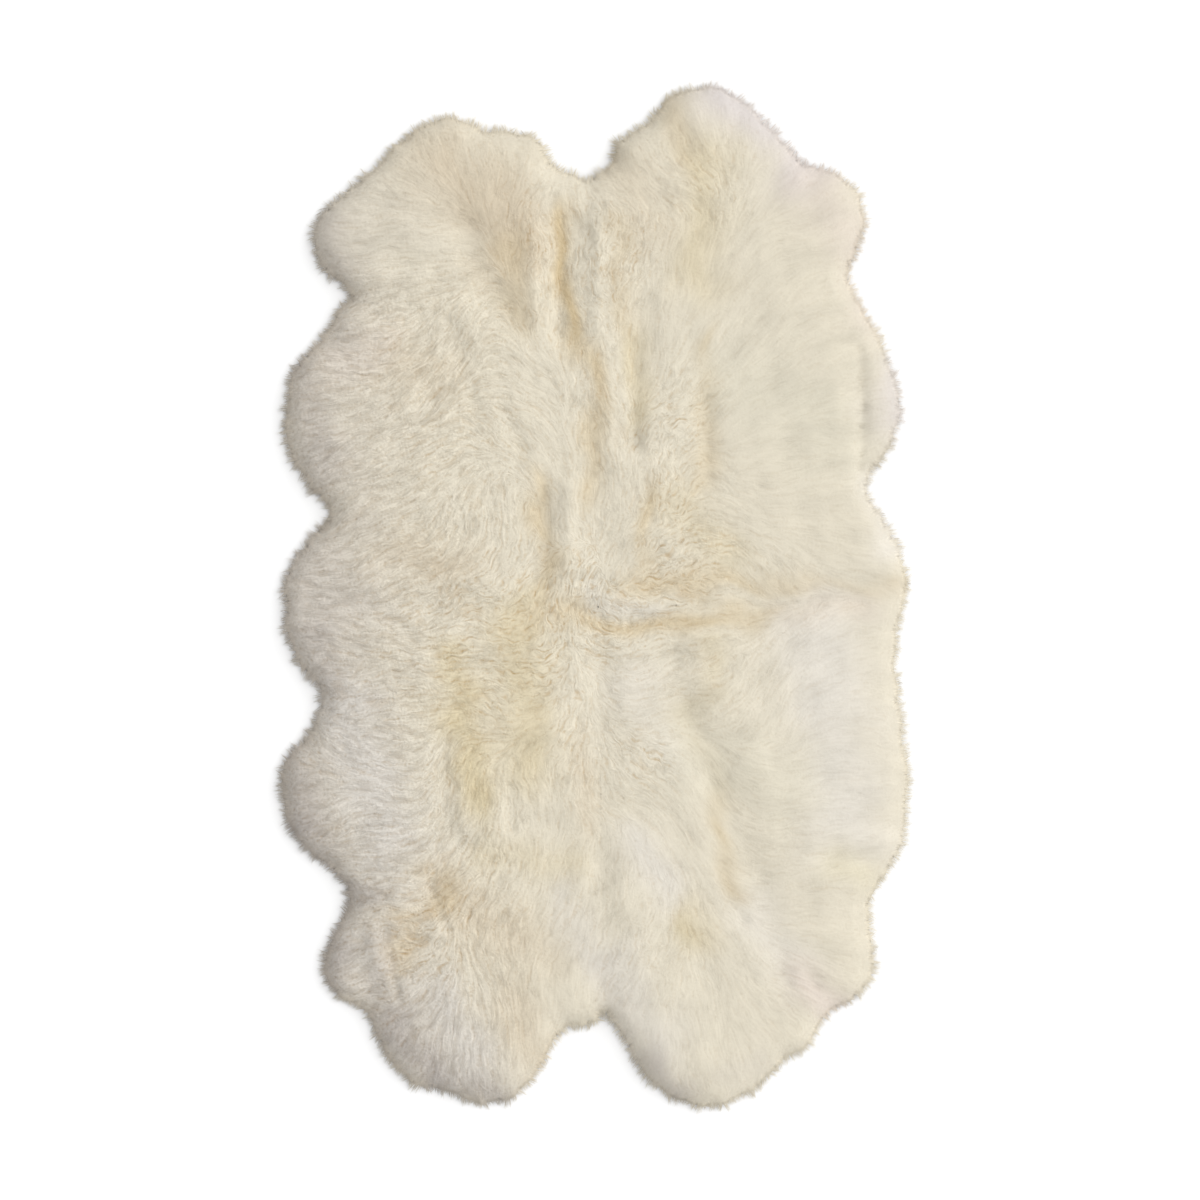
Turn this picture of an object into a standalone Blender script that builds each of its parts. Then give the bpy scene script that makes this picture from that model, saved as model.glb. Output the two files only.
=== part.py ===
"""Sheepskin rug of four pelts, lying flat on the floor with its wool up.

Four tanned pelts are sewn edge to edge, two across and two along. Each pelt is a
flat hide and the coat of wool that grows on it. The coat is a lumpy slab that
overhangs the hide, and pointed locks stand out all round its rim.

The origin is the middle of the rug's footprint, on the floor. +X runs across the
rug, +Y runs along it towards the necks of the upper pelts, and +Z is up. The
tables below are in millimetres, and the model is built in metres.
"""

import math
from collections import namedtuple

import bmesh
import bpy
import numpy as np
from mathutils import Matrix, Vector

MM = 0.001

# The coat and the hide, in millimetres.
CROWN_Z = 48.0  # top of the wool above the floor, away from rims and folds
HIDE_THICKNESS = 2.0
PIECE_GAP = 0.3  # between neighbouring pieces
OVERHANG = 30.0  # how far the wool reaches past the edge of its hide
SHOULDER_Z = 26.0  # where the rounded rim turns into the crown
SHOULDER_INSET = 6.0
CROWN_REACH = 95.0  # distance from the rim at which the crown is at full height
CELL = 22.0  # the crown is cut into cells of this size
CELL_SNAP = 3.0

# The rounded rim, from the underside up: how far in from the widest line, and height.
# The last row is the edge of the crown, which is then raised to the height of the wool.
RIM_PROFILE = (
    (12.0, HIDE_THICKNESS + PIECE_GAP),
    (0.0, 9.0),
    (SHOULDER_INSET, SHOULDER_Z),
    (20.0, 34.0),
)
LOCK_LEVEL = 1  # the locks grow between the widest line and the shoulder

# The sewn lines: the wool parts there in a shallow dip.
SEAM_DIP = 8.0
SEAM_DIP_WIDTH = 26.0
SEAM_FIRST = 50.0  # the first point of a seam past the rim
SEAM_STEP = 44.0

# The locks round the rim.
LOCK_PITCH = 18.6
LOCK_FREE_FACES = 1  # faces of the rim beside each seam that carry no lock
LOCK_ROOT_GAP = 2.2  # half of what parts two neighbouring locks at their roots
LOCK_REACH = 13.5
LOCK_REACH_SPREAD = 0.35
LOCK_WAIST = 0.62  # size of a lock halfway along, as a share of its root
LOCK_DROOP = 0.25  # how much of its drop a lock has made halfway along
LOCK_TIP_Z = 4.0
LOCK_SWAY = 0.35  # how far a tip may lean sideways, as a share of its reach

NORMAL_WINDOW = 45.0  # the rim's direction is smoothed over this length

Point = namedtuple("Point", "name x y")
Pelt = namedtuple("Pelt", "name side end seed rim")
Fold = namedtuple("Fold", "name x1 y1 x2 y2 width height")
Swell = namedtuple("Swell", "height wave heading phase")

# Where the four pelts meet, and where the seams come out at the rim.
CROSSING = Point("crossing", 0, -20)
NECK_NOTCH = Point("neck notch", -20, 730)
TAIL_NOTCH = Point("tail notch", 10, -725)
RIGHT_END = Point("cross seam, right end", 541, -4)
LEFT_END = Point("cross seam, left end", -548, -17)

# Each rim runs clockwise, seen from above, from one seam's end to the next.
UPPER_RIGHT_RIM = (
    NECK_NOTCH,
    Point("cheek, inside", 33, 758),
    Point("cheek corner", 40, 794),
    Point("neck, rising", 110, 842),
    Point("neck corner", 131, 875),
    Point("neck top", 208, 892),
    Point("neck, outer corner", 247, 872),
    Point("shoulder slope", 313, 806),
    Point("foreleg, inner dent", 372, 749),
    Point("foreleg, top", 414, 745),
    Point("foreleg, corner", 457, 698),
    Point("foreleg, outside", 457, 640),
    Point("elbow notch", 431, 560),
    Point("belly, rising", 474, 481),
    Point("belly, widest", 523, 350),
    Point("belly, falling", 515, 284),
    Point("flank notch", 463, 190),
    Point("hind leg, rising", 499, 129),
    Point("hind leg, outside", 535, 46),
    RIGHT_END,
)
LOWER_RIGHT_RIM = (
    RIGHT_END,
    Point("seam dent", 517, -68),
    Point("flank, upper", 524, -200),
    Point("flank, widest", 538, -350),
    Point("flank, lower", 522, -450),
    Point("knee notch", 466, -546),
    Point("hind leg, outside", 478, -626),
    Point("hind leg, corner", 462, -694),
    Point("hind leg, underside", 407, -727),
    Point("rump step", 375, -770),
    Point("rump corner", 360, -797),
    Point("rump ledge", 328, -808),
    Point("rump, outer", 285, -853),
    Point("rump, lowest", 214, -893),
    Point("rump, inner", 160, -887),
    Point("tail side, lower", 91, -848),
    Point("tail side, upper", 53, -777),
    TAIL_NOTCH,
)
LOWER_LEFT_RIM = (
    TAIL_NOTCH,
    Point("tail ledge, inner", -20, -749),
    Point("tail ledge, outer", -68, -756),
    Point("tail side", -104, -820),
    Point("rump, inner", -153, -876),
    Point("rump, lowest", -204, -888),
    Point("rump, outer", -273, -864),
    Point("rump corner", -328, -851),
    Point("hock, outside", -375, -790),
    Point("hock dent", -405, -728),
    Point("hind leg, tip", -467, -686),
    Point("hind leg, outside", -474, -635),
    Point("knee notch", -428, -531),
    Point("belly, lower", -462, -477),
    Point("belly, falling", -527, -424),
    Point("belly, widest", -549, -342),
    Point("belly, upper", -546, -292),
    Point("elbow, outer", -500, -249),
    Point("elbow notch", -479, -175),
    Point("foreleg, lower", -517, -121),
    Point("foreleg, outside", -545, -60),
    LEFT_END,
)
UPPER_LEFT_RIM = (
    LEFT_END,
    Point("hind leg, outside", -540, 38),
    Point("hind leg, upper", -507, 90),
    Point("flank notch", -458, 145),
    Point("belly, lower", -504, 199),
    Point("belly, falling", -538, 268),
    Point("belly, widest", -541, 357),
    Point("belly, upper", -513, 420),
    Point("elbow, outer", -466, 466),
    Point("elbow corner", -449, 507),
    Point("elbow notch", -421, 530),
    Point("foreleg, underside", -467, 571),
    Point("foreleg, outside", -498, 626),
    Point("foreleg, corner", -485, 668),
    Point("shoulder slope", -411, 731),
    Point("shoulder, upper", -348, 793),
    Point("neck, rising", -298, 829),
    Point("neck top", -249, 837),
    Point("neck dent", -210, 816),
    Point("neck, inner", -132, 809),
    Point("neck corner", -101, 795),
    Point("cheek, inside", -101, 762),
    Point("cheek ledge", -58, 743),
    NECK_NOTCH,
)

# side is +1 on the right, end is +1 towards the necks. The seed is for the locks.
PELTS = (
    Pelt("upper_right", 1, 1, 11, UPPER_RIGHT_RIM),
    Pelt("lower_right", 1, -1, 12, LOWER_RIGHT_RIM),
    Pelt("lower_left", -1, -1, 13, LOWER_LEFT_RIM),
    Pelt("upper_left", -1, 1, 14, UPPER_LEFT_RIM),
)

# Ridges stand up and furrows sink. A fold runs from one point to the other.
FOLDS = (
    Fold("neck furrow", -58, 655, -64, 462, 26, -15),
    Fold("neck ridge, left", -112, 670, -118, 440, 34, 8),
    Fold("neck ridge, right", 0, 660, 8, 330, 34, 9),
    Fold("back furrow", 62, 440, 64, 270, 26, -9),
    Fold("back ridge", 105, 330, 120, 200, 44, 7),
    Fold("back furrow, outer", 194, 390, 200, 255, 26, -8),
    Fold("withers furrow", -268, 690, -150, 480, 32, -8),
    Fold("withers ridge", -190, 640, -160, 560, 36, 5),
    Fold("loin furrow", -98, 170, -105, 30, 28, -8),
    Fold("loin ridge", 0, 250, 5, 60, 46, 7),
    Fold("right flank crease", 458, 470, 464, 215, 20, -9),
    Fold("left foreleg crease", -345, 10, -300, -40, 26, -6),
    Fold("seam ridge", 10, -8, 250, -20, 26, 9),
    Fold("right rib furrow, upper", 120, -120, 210, -330, 30, -7),
    Fold("right rib furrow, lower", 210, -330, 290, -560, 30, -8),
    Fold("right rib ridge", 170, -90, 290, -330, 46, 6),
    Fold("left back furrow", -255, -250, -245, -430, 28, -7),
    Fold("left back ridge", -165, -280, -160, -420, 36, 5),
    Fold("left rump furrow", -290, -500, -350, -640, 28, -9),
    Fold("left hind leg furrow", -425, -640, -378, -740, 24, -10),
    Fold("left hind leg ridge", -385, -580, -360, -700, 26, 7),
    Fold("tail furrow, left", -100, -560, -60, -700, 36, -6),
    Fold("tail ridge, right", 75, -480, 95, -700, 60, 6),
    Fold("right rump furrow", 330, -640, 300, -760, 28, -7),
)

# Swells over the whole coat make it lumpy: height, wavelength, heading in degrees, phase.
SWELLS = (
    Swell(1.8, 168, 24, 0.4),
    Swell(1.6, 131, 107, 1.9),
    Swell(1.3, 97, 63, 4.1),
    Swell(1.2, 83, 151, 2.7),
    Swell(1.0, 67, 12, 5.2),
    Swell(0.9, 61, 84, 0.9),
)

WOOL_COLOUR = (0.86, 0.81, 0.69, 1.0)
HIDE_COLOUR = (0.80, 0.70, 0.55, 1.0)
WOOL_ROUGHNESS = 0.95
HIDE_ROUGHNESS = 0.85


def clear_scene():
    """Removes what a new Blender scene holds."""
    for obj in list(bpy.data.objects):
        bpy.data.objects.remove(obj)


def make_material(name, colour, roughness):
    """A plain Principled material."""
    material = bpy.data.materials.new(name)
    material.use_nodes = True
    shader = material.node_tree.nodes["Principled BSDF"]
    shader.inputs["Base Color"].default_value = colour
    shader.inputs["Roughness"].default_value = roughness
    shader.inputs["Metallic"].default_value = 0.0
    return material


def places(points):
    """The x and y of named points, as rows of an array."""
    return np.array([(p.x, p.y) for p in points], float)


def smooth_through(points, steps=12):
    """A curve through the points: centripetal Catmull-Rom, with steps to each span."""
    ends = 2 * points[0] - points[1], 2 * points[-1] - points[-2]
    padded = np.vstack([ends[0], points, ends[1]])
    knots = np.concatenate([[0], np.cumsum(np.linalg.norm(np.diff(padded, axis=0), axis=1) ** 0.5)])
    curve = []
    for i in range(1, len(padded) - 2):
        t0, t1, t2, t3 = knots[i - 1 : i + 3]
        t = np.linspace(t1, t2, steps, endpoint=False)[:, None]
        p0, p1, p2, p3 = padded[i - 1 : i + 3]
        a1 = ((t1 - t) * p0 + (t - t0) * p1) / (t1 - t0)
        a2 = ((t2 - t) * p1 + (t - t1) * p2) / (t2 - t1)
        a3 = ((t3 - t) * p2 + (t - t2) * p3) / (t3 - t2)
        b1 = ((t2 - t) * a1 + (t - t0) * a2) / (t2 - t0)
        b2 = ((t3 - t) * a2 + (t - t1) * a3) / (t3 - t1)
        curve.append(((t2 - t) * b1 + (t - t1) * b2) / (t2 - t1))
    return np.vstack(curve + [points[-1:]])


def evenly_spaced(line, pitch):
    """The same line, both ends kept, with its points about one pitch apart."""
    along = np.concatenate([[0], np.cumsum(np.linalg.norm(np.diff(line, axis=0), axis=1))])
    count = round(along[-1] / pitch) + 1
    at = np.linspace(0, along[-1], count)
    return np.column_stack([np.interp(at, along, line[:, k]) for k in (0, 1)])


def distance_to_line(at, line):
    """How far each place is from a line of straight pieces."""
    start = line[:-1]
    run = line[1:] - start
    offset = at[:, None] - start
    share = (offset * run).sum(2) / (run * run).sum(1)
    nearest = start + np.clip(share, 0, 1)[..., None] * run
    return np.linalg.norm(at[:, None] - nearest, axis=2).min(1)


RUG_RIM = np.vstack([smooth_through(places(p.rim), 6)[:-1] for p in PELTS])
RUG_RIM = np.vstack([RUG_RIM, RUG_RIM[:1]])
LONG_SEAM = places((NECK_NOTCH, CROSSING, TAIL_NOTCH))
CROSS_SEAM = places((LEFT_END, CROSSING, RIGHT_END))


def bell(distance, width):
    """1 on the line, falling smoothly to nearly 0 a few widths away."""
    return np.exp(-((distance / width) ** 2))


def crown_height(at):
    """The height of the wool's top above the floor at each place."""
    share_in = np.clip((distance_to_line(at, RUG_RIM) - SHOULDER_INSET) / CROWN_REACH, 0, 1)
    rounding = np.sqrt(1 - (1 - share_in) ** 2)
    height = SHOULDER_Z + (CROWN_Z - SHOULDER_Z) * rounding
    relief = np.zeros(len(at))
    for seam in (LONG_SEAM, CROSS_SEAM):
        relief -= SEAM_DIP * bell(distance_to_line(at, seam), SEAM_DIP_WIDTH)
    for fold in FOLDS:
        line = np.array([(fold.x1, fold.y1), (fold.x2, fold.y2)], float)
        relief += fold.height * bell(distance_to_line(at, line), fold.width)
    for swell in SWELLS:
        heading = math.radians(swell.heading)
        along = at @ np.array([math.cos(heading), math.sin(heading)])
        relief += swell.height * np.cos(2 * math.pi * along / swell.wave + swell.phase)
    return height + relief * rounding


def rim_inward(rim):
    """The direction into the rug at each point of a rim, smoothed along it."""
    window = round(NORMAL_WINDOW / LOCK_PITCH)
    ahead = rim[np.minimum(np.arange(len(rim)) + window, len(rim) - 1)]
    behind = rim[np.maximum(np.arange(len(rim)) - window, 0)]
    run = ahead - behind
    run /= np.linalg.norm(run, axis=1)[:, None]
    return np.column_stack([run[:, 1], -run[:, 0]])


def seam_points(corner):
    """Points on a straight seam, from just past its end at the rim to before the crossing."""
    crossing = np.array([CROSSING.x, CROSSING.y], float)
    length = np.linalg.norm(crossing - corner)
    count = round((length - SEAM_FIRST) / SEAM_STEP)
    at = np.linspace(SEAM_FIRST, length, count, endpoint=False)
    return corner + at[:, None] / length * (crossing - corner)


def outline_of(pelt):
    """The closed outline of a pelt: its points, the way inwards at each, and how many are rim.

    The rim comes first. Its two end points lie on seams, so their way inwards runs
    along the seam. The points on the seams stay where they are, at every height.
    """
    rim = evenly_spaced(smooth_through(places(pelt.rim)), LOCK_PITCH)
    crossing = np.array([[CROSSING.x, CROSSING.y]], float)
    last_seam = seam_points(rim[-1])
    first_seam = seam_points(rim[0])[::-1]
    inward = rim_inward(rim)
    for corner in (0, -1):
        along = crossing[0] - rim[corner]
        inward[corner] = along / np.linalg.norm(along)
    seams = np.vstack([last_seam, crossing, first_seam])
    points = np.vstack([rim, seams])
    inward = np.vstack([inward, np.zeros_like(seams)])
    # Half of the gap to the neighbours: right or left of the long seam, above or below the other.
    half_gap = PIECE_GAP / 2
    on_long = distance_to_line(points, LONG_SEAM) < half_gap
    on_cross = distance_to_line(points, CROSS_SEAM) < half_gap
    points[on_long, 0] += pelt.side * half_gap
    points[on_cross, 1] += pelt.end * half_gap
    return points, inward, len(rim)


def rim_rows(points, inward):
    """The rows of the rim: its foot, its widest line, its shoulder and the crown's edge."""
    rows = []
    for inset, height in RIM_PROFILE:
        edge = points + inset * inward
        rows.append([Vector((x, y, height)) * MM for x, y in edge])
    return rows


def parts_of(faces, kind):
    """The edges or the corners of some faces, each once and in the mesh's order."""
    return sorted({part for face in faces for part in getattr(face, kind)}, key=lambda p: p.index)


def divide_crown(bm, crown):
    """Cuts the crown across and along into cells, so that it can follow the folds."""
    cells = [crown]
    rim = [vert.co.copy() for vert in crown.verts]
    for axis in (Vector((1, 0, 0)), Vector((0, 1, 0))):
        reach = [at.dot(axis) / (CELL * MM) for at in rim]
        lines = range(math.ceil(min(reach)), math.floor(max(reach)) + 1)
        for line in lines:
            cut = bmesh.ops.bisect_plane(
                bm,
                geom=cells + parts_of(cells, "edges") + parts_of(cells, "verts"),
                dist=CELL_SNAP * MM,
                plane_co=axis * line * CELL * MM,
                plane_no=axis,
            )
            cells = [item for item in cut["geom"] if isinstance(item, bmesh.types.BMFace)]
            bm.edges.index_update()
            bm.verts.index_update()
    return cells


def raise_crown(bm, cells):
    """Lifts every corner of the crown to the height of the wool there."""
    verts = parts_of(cells, "verts")
    at = np.array([(vert.co.x, vert.co.y) for vert in verts]) / MM
    for vert, height in zip(verts, crown_height(at)):
        vert.co.z = height * MM


def grow_lock(bm, face, random):
    """Draws one face of the rim out into a pointed lock that droops towards the floor."""
    outward = face.normal.copy()
    outward.z = 0
    outward.normalize()
    reach = LOCK_REACH * MM * (1 + LOCK_REACH_SPREAD * random.uniform(-1, 1))
    sideways = Vector((-outward.y, outward.x, 0)) * reach * LOCK_SWAY * random.uniform(-1, 1)
    root = face.calc_center_median()
    tip = root + outward * reach + sideways
    tip.z = LOCK_TIP_Z * MM
    waist = root.lerp(tip, 0.5)
    waist.z = root.z + LOCK_DROOP * (tip.z - root.z)
    middle = bmesh.ops.extrude_discrete_faces(bm, faces=[face])["faces"][0]
    for vert in middle.verts:
        vert.co = waist + (vert.co - root) * LOCK_WAIST
    end = bmesh.ops.extrude_discrete_faces(bm, faces=[middle])["faces"][0]
    bmesh.ops.pointmerge(bm, verts=list(end.verts), merge_co=tip)


def build_coat(pelt, points, inward, rim_count, material):
    """The wool of one pelt: a lumpy slab with locks at its rim."""
    bm = bmesh.new()
    rings = [[bm.verts.new(at) for at in row] for row in rim_rows(points, inward)]
    count = len(points)
    lock_faces = []
    for level, (low, high) in enumerate(zip(rings, rings[1:])):
        for i in range(count):
            j = (i + 1) % count
            face = bm.faces.new((low[j], low[i], high[i], high[j]))
            if level == LOCK_LEVEL and LOCK_FREE_FACES <= i < rim_count - 1 - LOCK_FREE_FACES:
                lock_faces.append(face)
    bm.faces.new(rings[0])
    crown = bm.faces.new(rings[-1][::-1])
    bmesh.ops.recalc_face_normals(bm, faces=bm.faces)
    bm.verts.index_update()
    bm.edges.index_update()
    raise_crown(bm, divide_crown(bm, crown))
    bmesh.ops.inset_individual(bm, faces=lock_faces, thickness=LOCK_ROOT_GAP * MM)
    bm.normal_update()
    random = np.random.default_rng(pelt.seed)
    for face in lock_faces:
        grow_lock(bm, face, random)
    mesh = bpy.data.meshes.new("wool_" + pelt.name)
    bm.to_mesh(mesh)
    bm.free()
    mesh.materials.append(material)
    mesh.shade_smooth()
    return bpy.data.objects.new("wool_" + pelt.name, mesh)


def build_hide(pelt, points, inward, material):
    """The tanned skin of one pelt: a flat outline, as thick as the hide."""
    bm = bmesh.new()
    edge = (points + OVERHANG * inward) * MM
    outline = bm.faces.new([bm.verts.new((x, y, 0)) for x, y in edge])
    raised = bmesh.ops.extrude_face_region(bm, geom=[outline])["geom"]
    top = [item for item in raised if isinstance(item, bmesh.types.BMVert)]
    bmesh.ops.translate(bm, verts=top, vec=(0, 0, HIDE_THICKNESS * MM))
    bmesh.ops.recalc_face_normals(bm, faces=bm.faces)
    mesh = bpy.data.meshes.new("hide_" + pelt.name)
    bm.to_mesh(mesh)
    bm.free()
    mesh.materials.append(material)
    return bpy.data.objects.new("hide_" + pelt.name, mesh)


def centre_on_origin(pieces):
    """Moves the rug so that the middle of its footprint is the origin."""
    at = np.array([vert.co[:2] for piece in pieces for vert in piece.data.vertices])
    middle = (at.min(axis=0) + at.max(axis=0)) / 2
    for piece in pieces:
        piece.data.transform(Matrix.Translation((-middle[0], -middle[1], 0)))


def main():
    """Builds the four pelts and sets the rug on its origin."""
    clear_scene()
    rug = bpy.data.collections.new("sheepskin_rug")
    bpy.context.scene.collection.children.link(rug)
    wool = make_material("wool", WOOL_COLOUR, WOOL_ROUGHNESS)
    suede = make_material("hide", HIDE_COLOUR, HIDE_ROUGHNESS)
    for pelt in PELTS:
        points, inward, rim_count = outline_of(pelt)
        rug.objects.link(build_coat(pelt, points, inward, rim_count, wool))
        rug.objects.link(build_hide(pelt, points, inward, suede))
    centre_on_origin(list(rug.objects))


main()
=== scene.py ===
"""Looks of a sheepskin rug: four long-wool pelts, sewn edge to edge, on a pale floor.

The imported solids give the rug's size, outline and relief. A grid that is dropped onto them reads the
height of the coat. A closed undercoat for each pelt follows that relief. Staples of wool, each a few
tapered strands, lie on it in the direction in which the coat is combed, and tufts fall over its rim.

Lengths are in metres. The tables of places on the rug are in millimetres, as their column names say.
"""

import logging
import math
from dataclasses import dataclass, field
from enum import Enum, IntEnum
from typing import NamedTuple, Sequence

import bpy
import numpy as np
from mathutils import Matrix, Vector


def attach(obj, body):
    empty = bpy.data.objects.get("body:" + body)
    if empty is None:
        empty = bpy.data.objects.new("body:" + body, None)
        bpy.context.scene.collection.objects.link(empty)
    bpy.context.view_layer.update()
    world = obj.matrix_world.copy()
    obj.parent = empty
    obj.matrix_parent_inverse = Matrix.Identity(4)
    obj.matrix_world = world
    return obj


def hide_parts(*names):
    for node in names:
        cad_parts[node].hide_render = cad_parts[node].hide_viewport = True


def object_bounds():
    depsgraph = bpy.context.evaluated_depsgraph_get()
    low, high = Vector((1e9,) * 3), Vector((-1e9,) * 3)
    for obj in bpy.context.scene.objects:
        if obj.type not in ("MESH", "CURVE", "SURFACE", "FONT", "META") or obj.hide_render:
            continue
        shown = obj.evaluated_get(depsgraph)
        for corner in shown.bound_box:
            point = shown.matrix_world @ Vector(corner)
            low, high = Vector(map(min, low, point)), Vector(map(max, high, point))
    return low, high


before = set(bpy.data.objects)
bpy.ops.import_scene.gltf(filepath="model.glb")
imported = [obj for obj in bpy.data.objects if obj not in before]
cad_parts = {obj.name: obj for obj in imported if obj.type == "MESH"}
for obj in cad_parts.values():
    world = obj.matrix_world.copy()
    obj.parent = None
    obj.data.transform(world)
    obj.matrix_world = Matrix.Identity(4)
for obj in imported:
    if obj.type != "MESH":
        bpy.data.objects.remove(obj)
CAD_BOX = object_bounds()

Array = np.ndarray
Colour = tuple[float, float, float]

log = logging.getLogger("rug")

MM = 0.001
BODY = "root"
PHOTO_SIDE = 1200
MM_PER_PIXEL = 1.77
PHOTO_CENTRE_MM = (10.6, -7.1)


def linear(red: int, green: int, blue: int) -> Colour:
    """Turns a screen colour into the linear one that shaders take, by the sRGB curve.

    Args:
        red: Red, from 0 to 255.
        green: Green, from 0 to 255.
        blue: Blue, from 0 to 255.

    Returns:
        The colour as three linear shares from 0 to 1.
    """
    shares = np.array([red, green, blue]) / 255
    curved = np.where(shares <= 0.04045, shares / 12.92, ((shares + 0.055) / 1.055) ** 2.4)
    return tuple(float(share) for share in curved)


class Quarter(Enum):
    """The four pelts, by where they lie in the rug, each with a point that sees its whole outline."""

    UPPER_LEFT = ("upper_left", -130, 450)
    UPPER_RIGHT = ("upper_right", 150, 350)
    LOWER_LEFT = ("lower_left", -130, -380)
    LOWER_RIGHT = ("lower_right", 210, -340)

    @property
    def label(self) -> str:
        """The pelt's part of a piece's name."""
        return self.value[0]

    @property
    def middle(self) -> Array:
        """The point that the rays to the pelt's outline start from, in metres."""
        return np.array(self.value[1:]) * MM


SEAMS = (
    (Quarter.UPPER_LEFT, Quarter.UPPER_RIGHT),
    (Quarter.LOWER_LEFT, Quarter.LOWER_RIGHT),
    (Quarter.UPPER_LEFT, Quarter.LOWER_LEFT),
    (Quarter.UPPER_RIGHT, Quarter.LOWER_RIGHT),
)


class Seed(IntEnum):
    """Where each kind of random numbers starts; a pelt adds its own number to its fleece's and rim's."""

    STRAY = 11
    SWAY_ACROSS = 23
    SWAY_ALONG = 29
    BROAD_STREAKS = 31
    FINE_STREAKS = 37
    BANDS = 41
    FLEECE = 100
    RIM = 200


class Tint(Enum):
    """The colours that the wool takes, as they look in even light; the dark grey and, where it is laid
    broadly, the grey are painted shade.
    """

    CREAM = (221, 213, 194)
    STRAW = (222, 213, 184)
    SAGE = (218, 212, 193)
    OCHRE = (212, 198, 164)
    HONEY = (206, 186, 148)
    TAN = (208, 194, 170)
    CHALK = (226, 220, 209)
    PEARL = (209, 204, 197)
    LAVENDER = (214, 207, 205)
    ROSE = (222, 210, 198)
    # A grey that is the wool's own in small patches, and painted shade where it is laid broadly over the left
    # side, away from the light.
    GREY_AND_SHADE = (198, 191, 182)
    # A dark grey that is painted shade on the shaded rims, notches and folds.
    SHADE = (177, 170, 164)

    @property
    def linear(self) -> Array:
        """The tint as three linear shares."""
        return np.array(linear(*self.value))


class Sweep(NamedTuple):
    """One stroke of the comb, from its start to its end, and how curly the wool is there (0 to 1)."""

    x1_mm: float
    y1_mm: float
    x2_mm: float
    y2_mm: float
    curl: float


class Patch(NamedTuple):
    """A soft-edged patch of another tint along a straight stretch, by its width to each side; some patches
    are painted shade.
    """

    x1_mm: float
    y1_mm: float
    x2_mm: float
    y2_mm: float
    width_mm: float
    tint: Tint
    strength: float


class Crease(NamedTuple):
    """A soft trough (height below 0) or ridge (above 0) along a straight stretch of the coat."""

    x1_mm: float
    y1_mm: float
    x2_mm: float
    y2_mm: float
    width_mm: float
    height_mm: float


UPPER_LEFT_SWEEPS = tuple(Sweep(*row) for row in (
    (-230, 650, -460, 655, 0.10), (-230, 590, -470, 570, 0.10), (-210, 520, -290, 440, 0.20),
    (-190, 560, -205, 450, 0.30), (-330, 540, -500, 515, 0.10), (-270, 745, -330, 820, 0.10),
    (-200, 700, -240, 770, 0.15), (-300, 710, -380, 735, 0.15), (-245, 780, -252, 870, 0.10),
    (-150, 790, -150, 880, 0.10), (-115, 760, -95, 830, 0.20), (-180, 740, -190, 790, 0.80),
    (-165, 580, -175, 690, 0.30), (-140, 450, -175, 530, 0.35), (-120, 630, -105, 680, 0.90),
    (-85, 530, -95, 600, 0.70), (-30, 500, -35, 620, 0.60), (-80, 690, -82, 780, 0.30),
    (-420, 405, -510, 410, 0.10), (-400, 310, -500, 292, 0.10), (-410, 230, -480, 195, 0.10),
    (-290, 420, -380, 350, 0.12), (-230, 440, -290, 360, 0.20), (-210, 262, -300, 255, 0.40),
    (-280, 220, -380, 180, 0.20), (-225, 210, -255, 110, 0.30), (-370, 150, -440, 128, 0.10),
    (-340, 95, -400, 50, 0.15), (-420, 85, -490, 65, 0.10), (-260, 75, -340, 55, 0.20),
    (-380, 15, -520, 5, 0.05), (-120, 370, -175, 430, 0.40), (-110, 345, -190, 342, 0.40),
    (-100, 230, -140, 285, 0.40), (-60, 120, -70, 220, 0.40), (-145, 160, -155, 60, 0.40),
    (-120, 20, -220, -20, 0.90), (-40, 60, -60, -20, 0.90),
))

UPPER_RIGHT_SWEEPS = tuple(Sweep(*row) for row in (
    (90, 720, 40, 790, 0.20), (160, 800, 140, 880, 0.10), (205, 800, 205, 885, 0.10),
    (240, 790, 265, 870, 0.10), (270, 760, 330, 840, 0.10), (330, 730, 390, 800, 0.10),
    (390, 670, 460, 715, 0.10), (390, 640, 480, 645, 0.10), (400, 610, 475, 595, 0.10),
    (230, 770, 170, 775, 0.80), (150, 700, 90, 715, 0.40), (210, 690, 190, 730, 0.70),
    (60, 560, 75, 640, 0.80), (115, 550, 130, 650, 0.30), (190, 540, 220, 650, 0.20),
    (240, 550, 290, 620, 0.15), (300, 580, 390, 620, 0.10), (300, 480, 370, 540, 0.15),
    (400, 490, 490, 525, 0.10), (180, 440, 220, 510, 0.20), (95, 400, 105, 510, 0.30),
    (0, 350, -5, 460, 0.60), (100, 300, 160, 360, 0.80), (40, 280, 42, 380, 0.50),
    (225, 380, 295, 430, 0.20), (270, 340, 370, 390, 0.12), (340, 310, 440, 345, 0.10),
    (320, 250, 450, 258, 0.10), (400, 285, 470, 278, 0.10), (350, 200, 470, 198, 0.10),
    (310, 170, 370, 195, 0.15), (210, 195, 280, 150, 0.25), (280, 140, 360, 115, 0.20),
    (380, 120, 520, 105, 0.05), (220, 100, 270, 55, 0.40), (290, 95, 325, 40, 0.30),
    (340, 80, 430, 40, 0.25), (460, 60, 540, 48, 0.05), (50, 90, 58, 210, 0.45), (120, 130, 150, 180, 0.85),
    (140, 50, 200, 80, 0.90),
))

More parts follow.
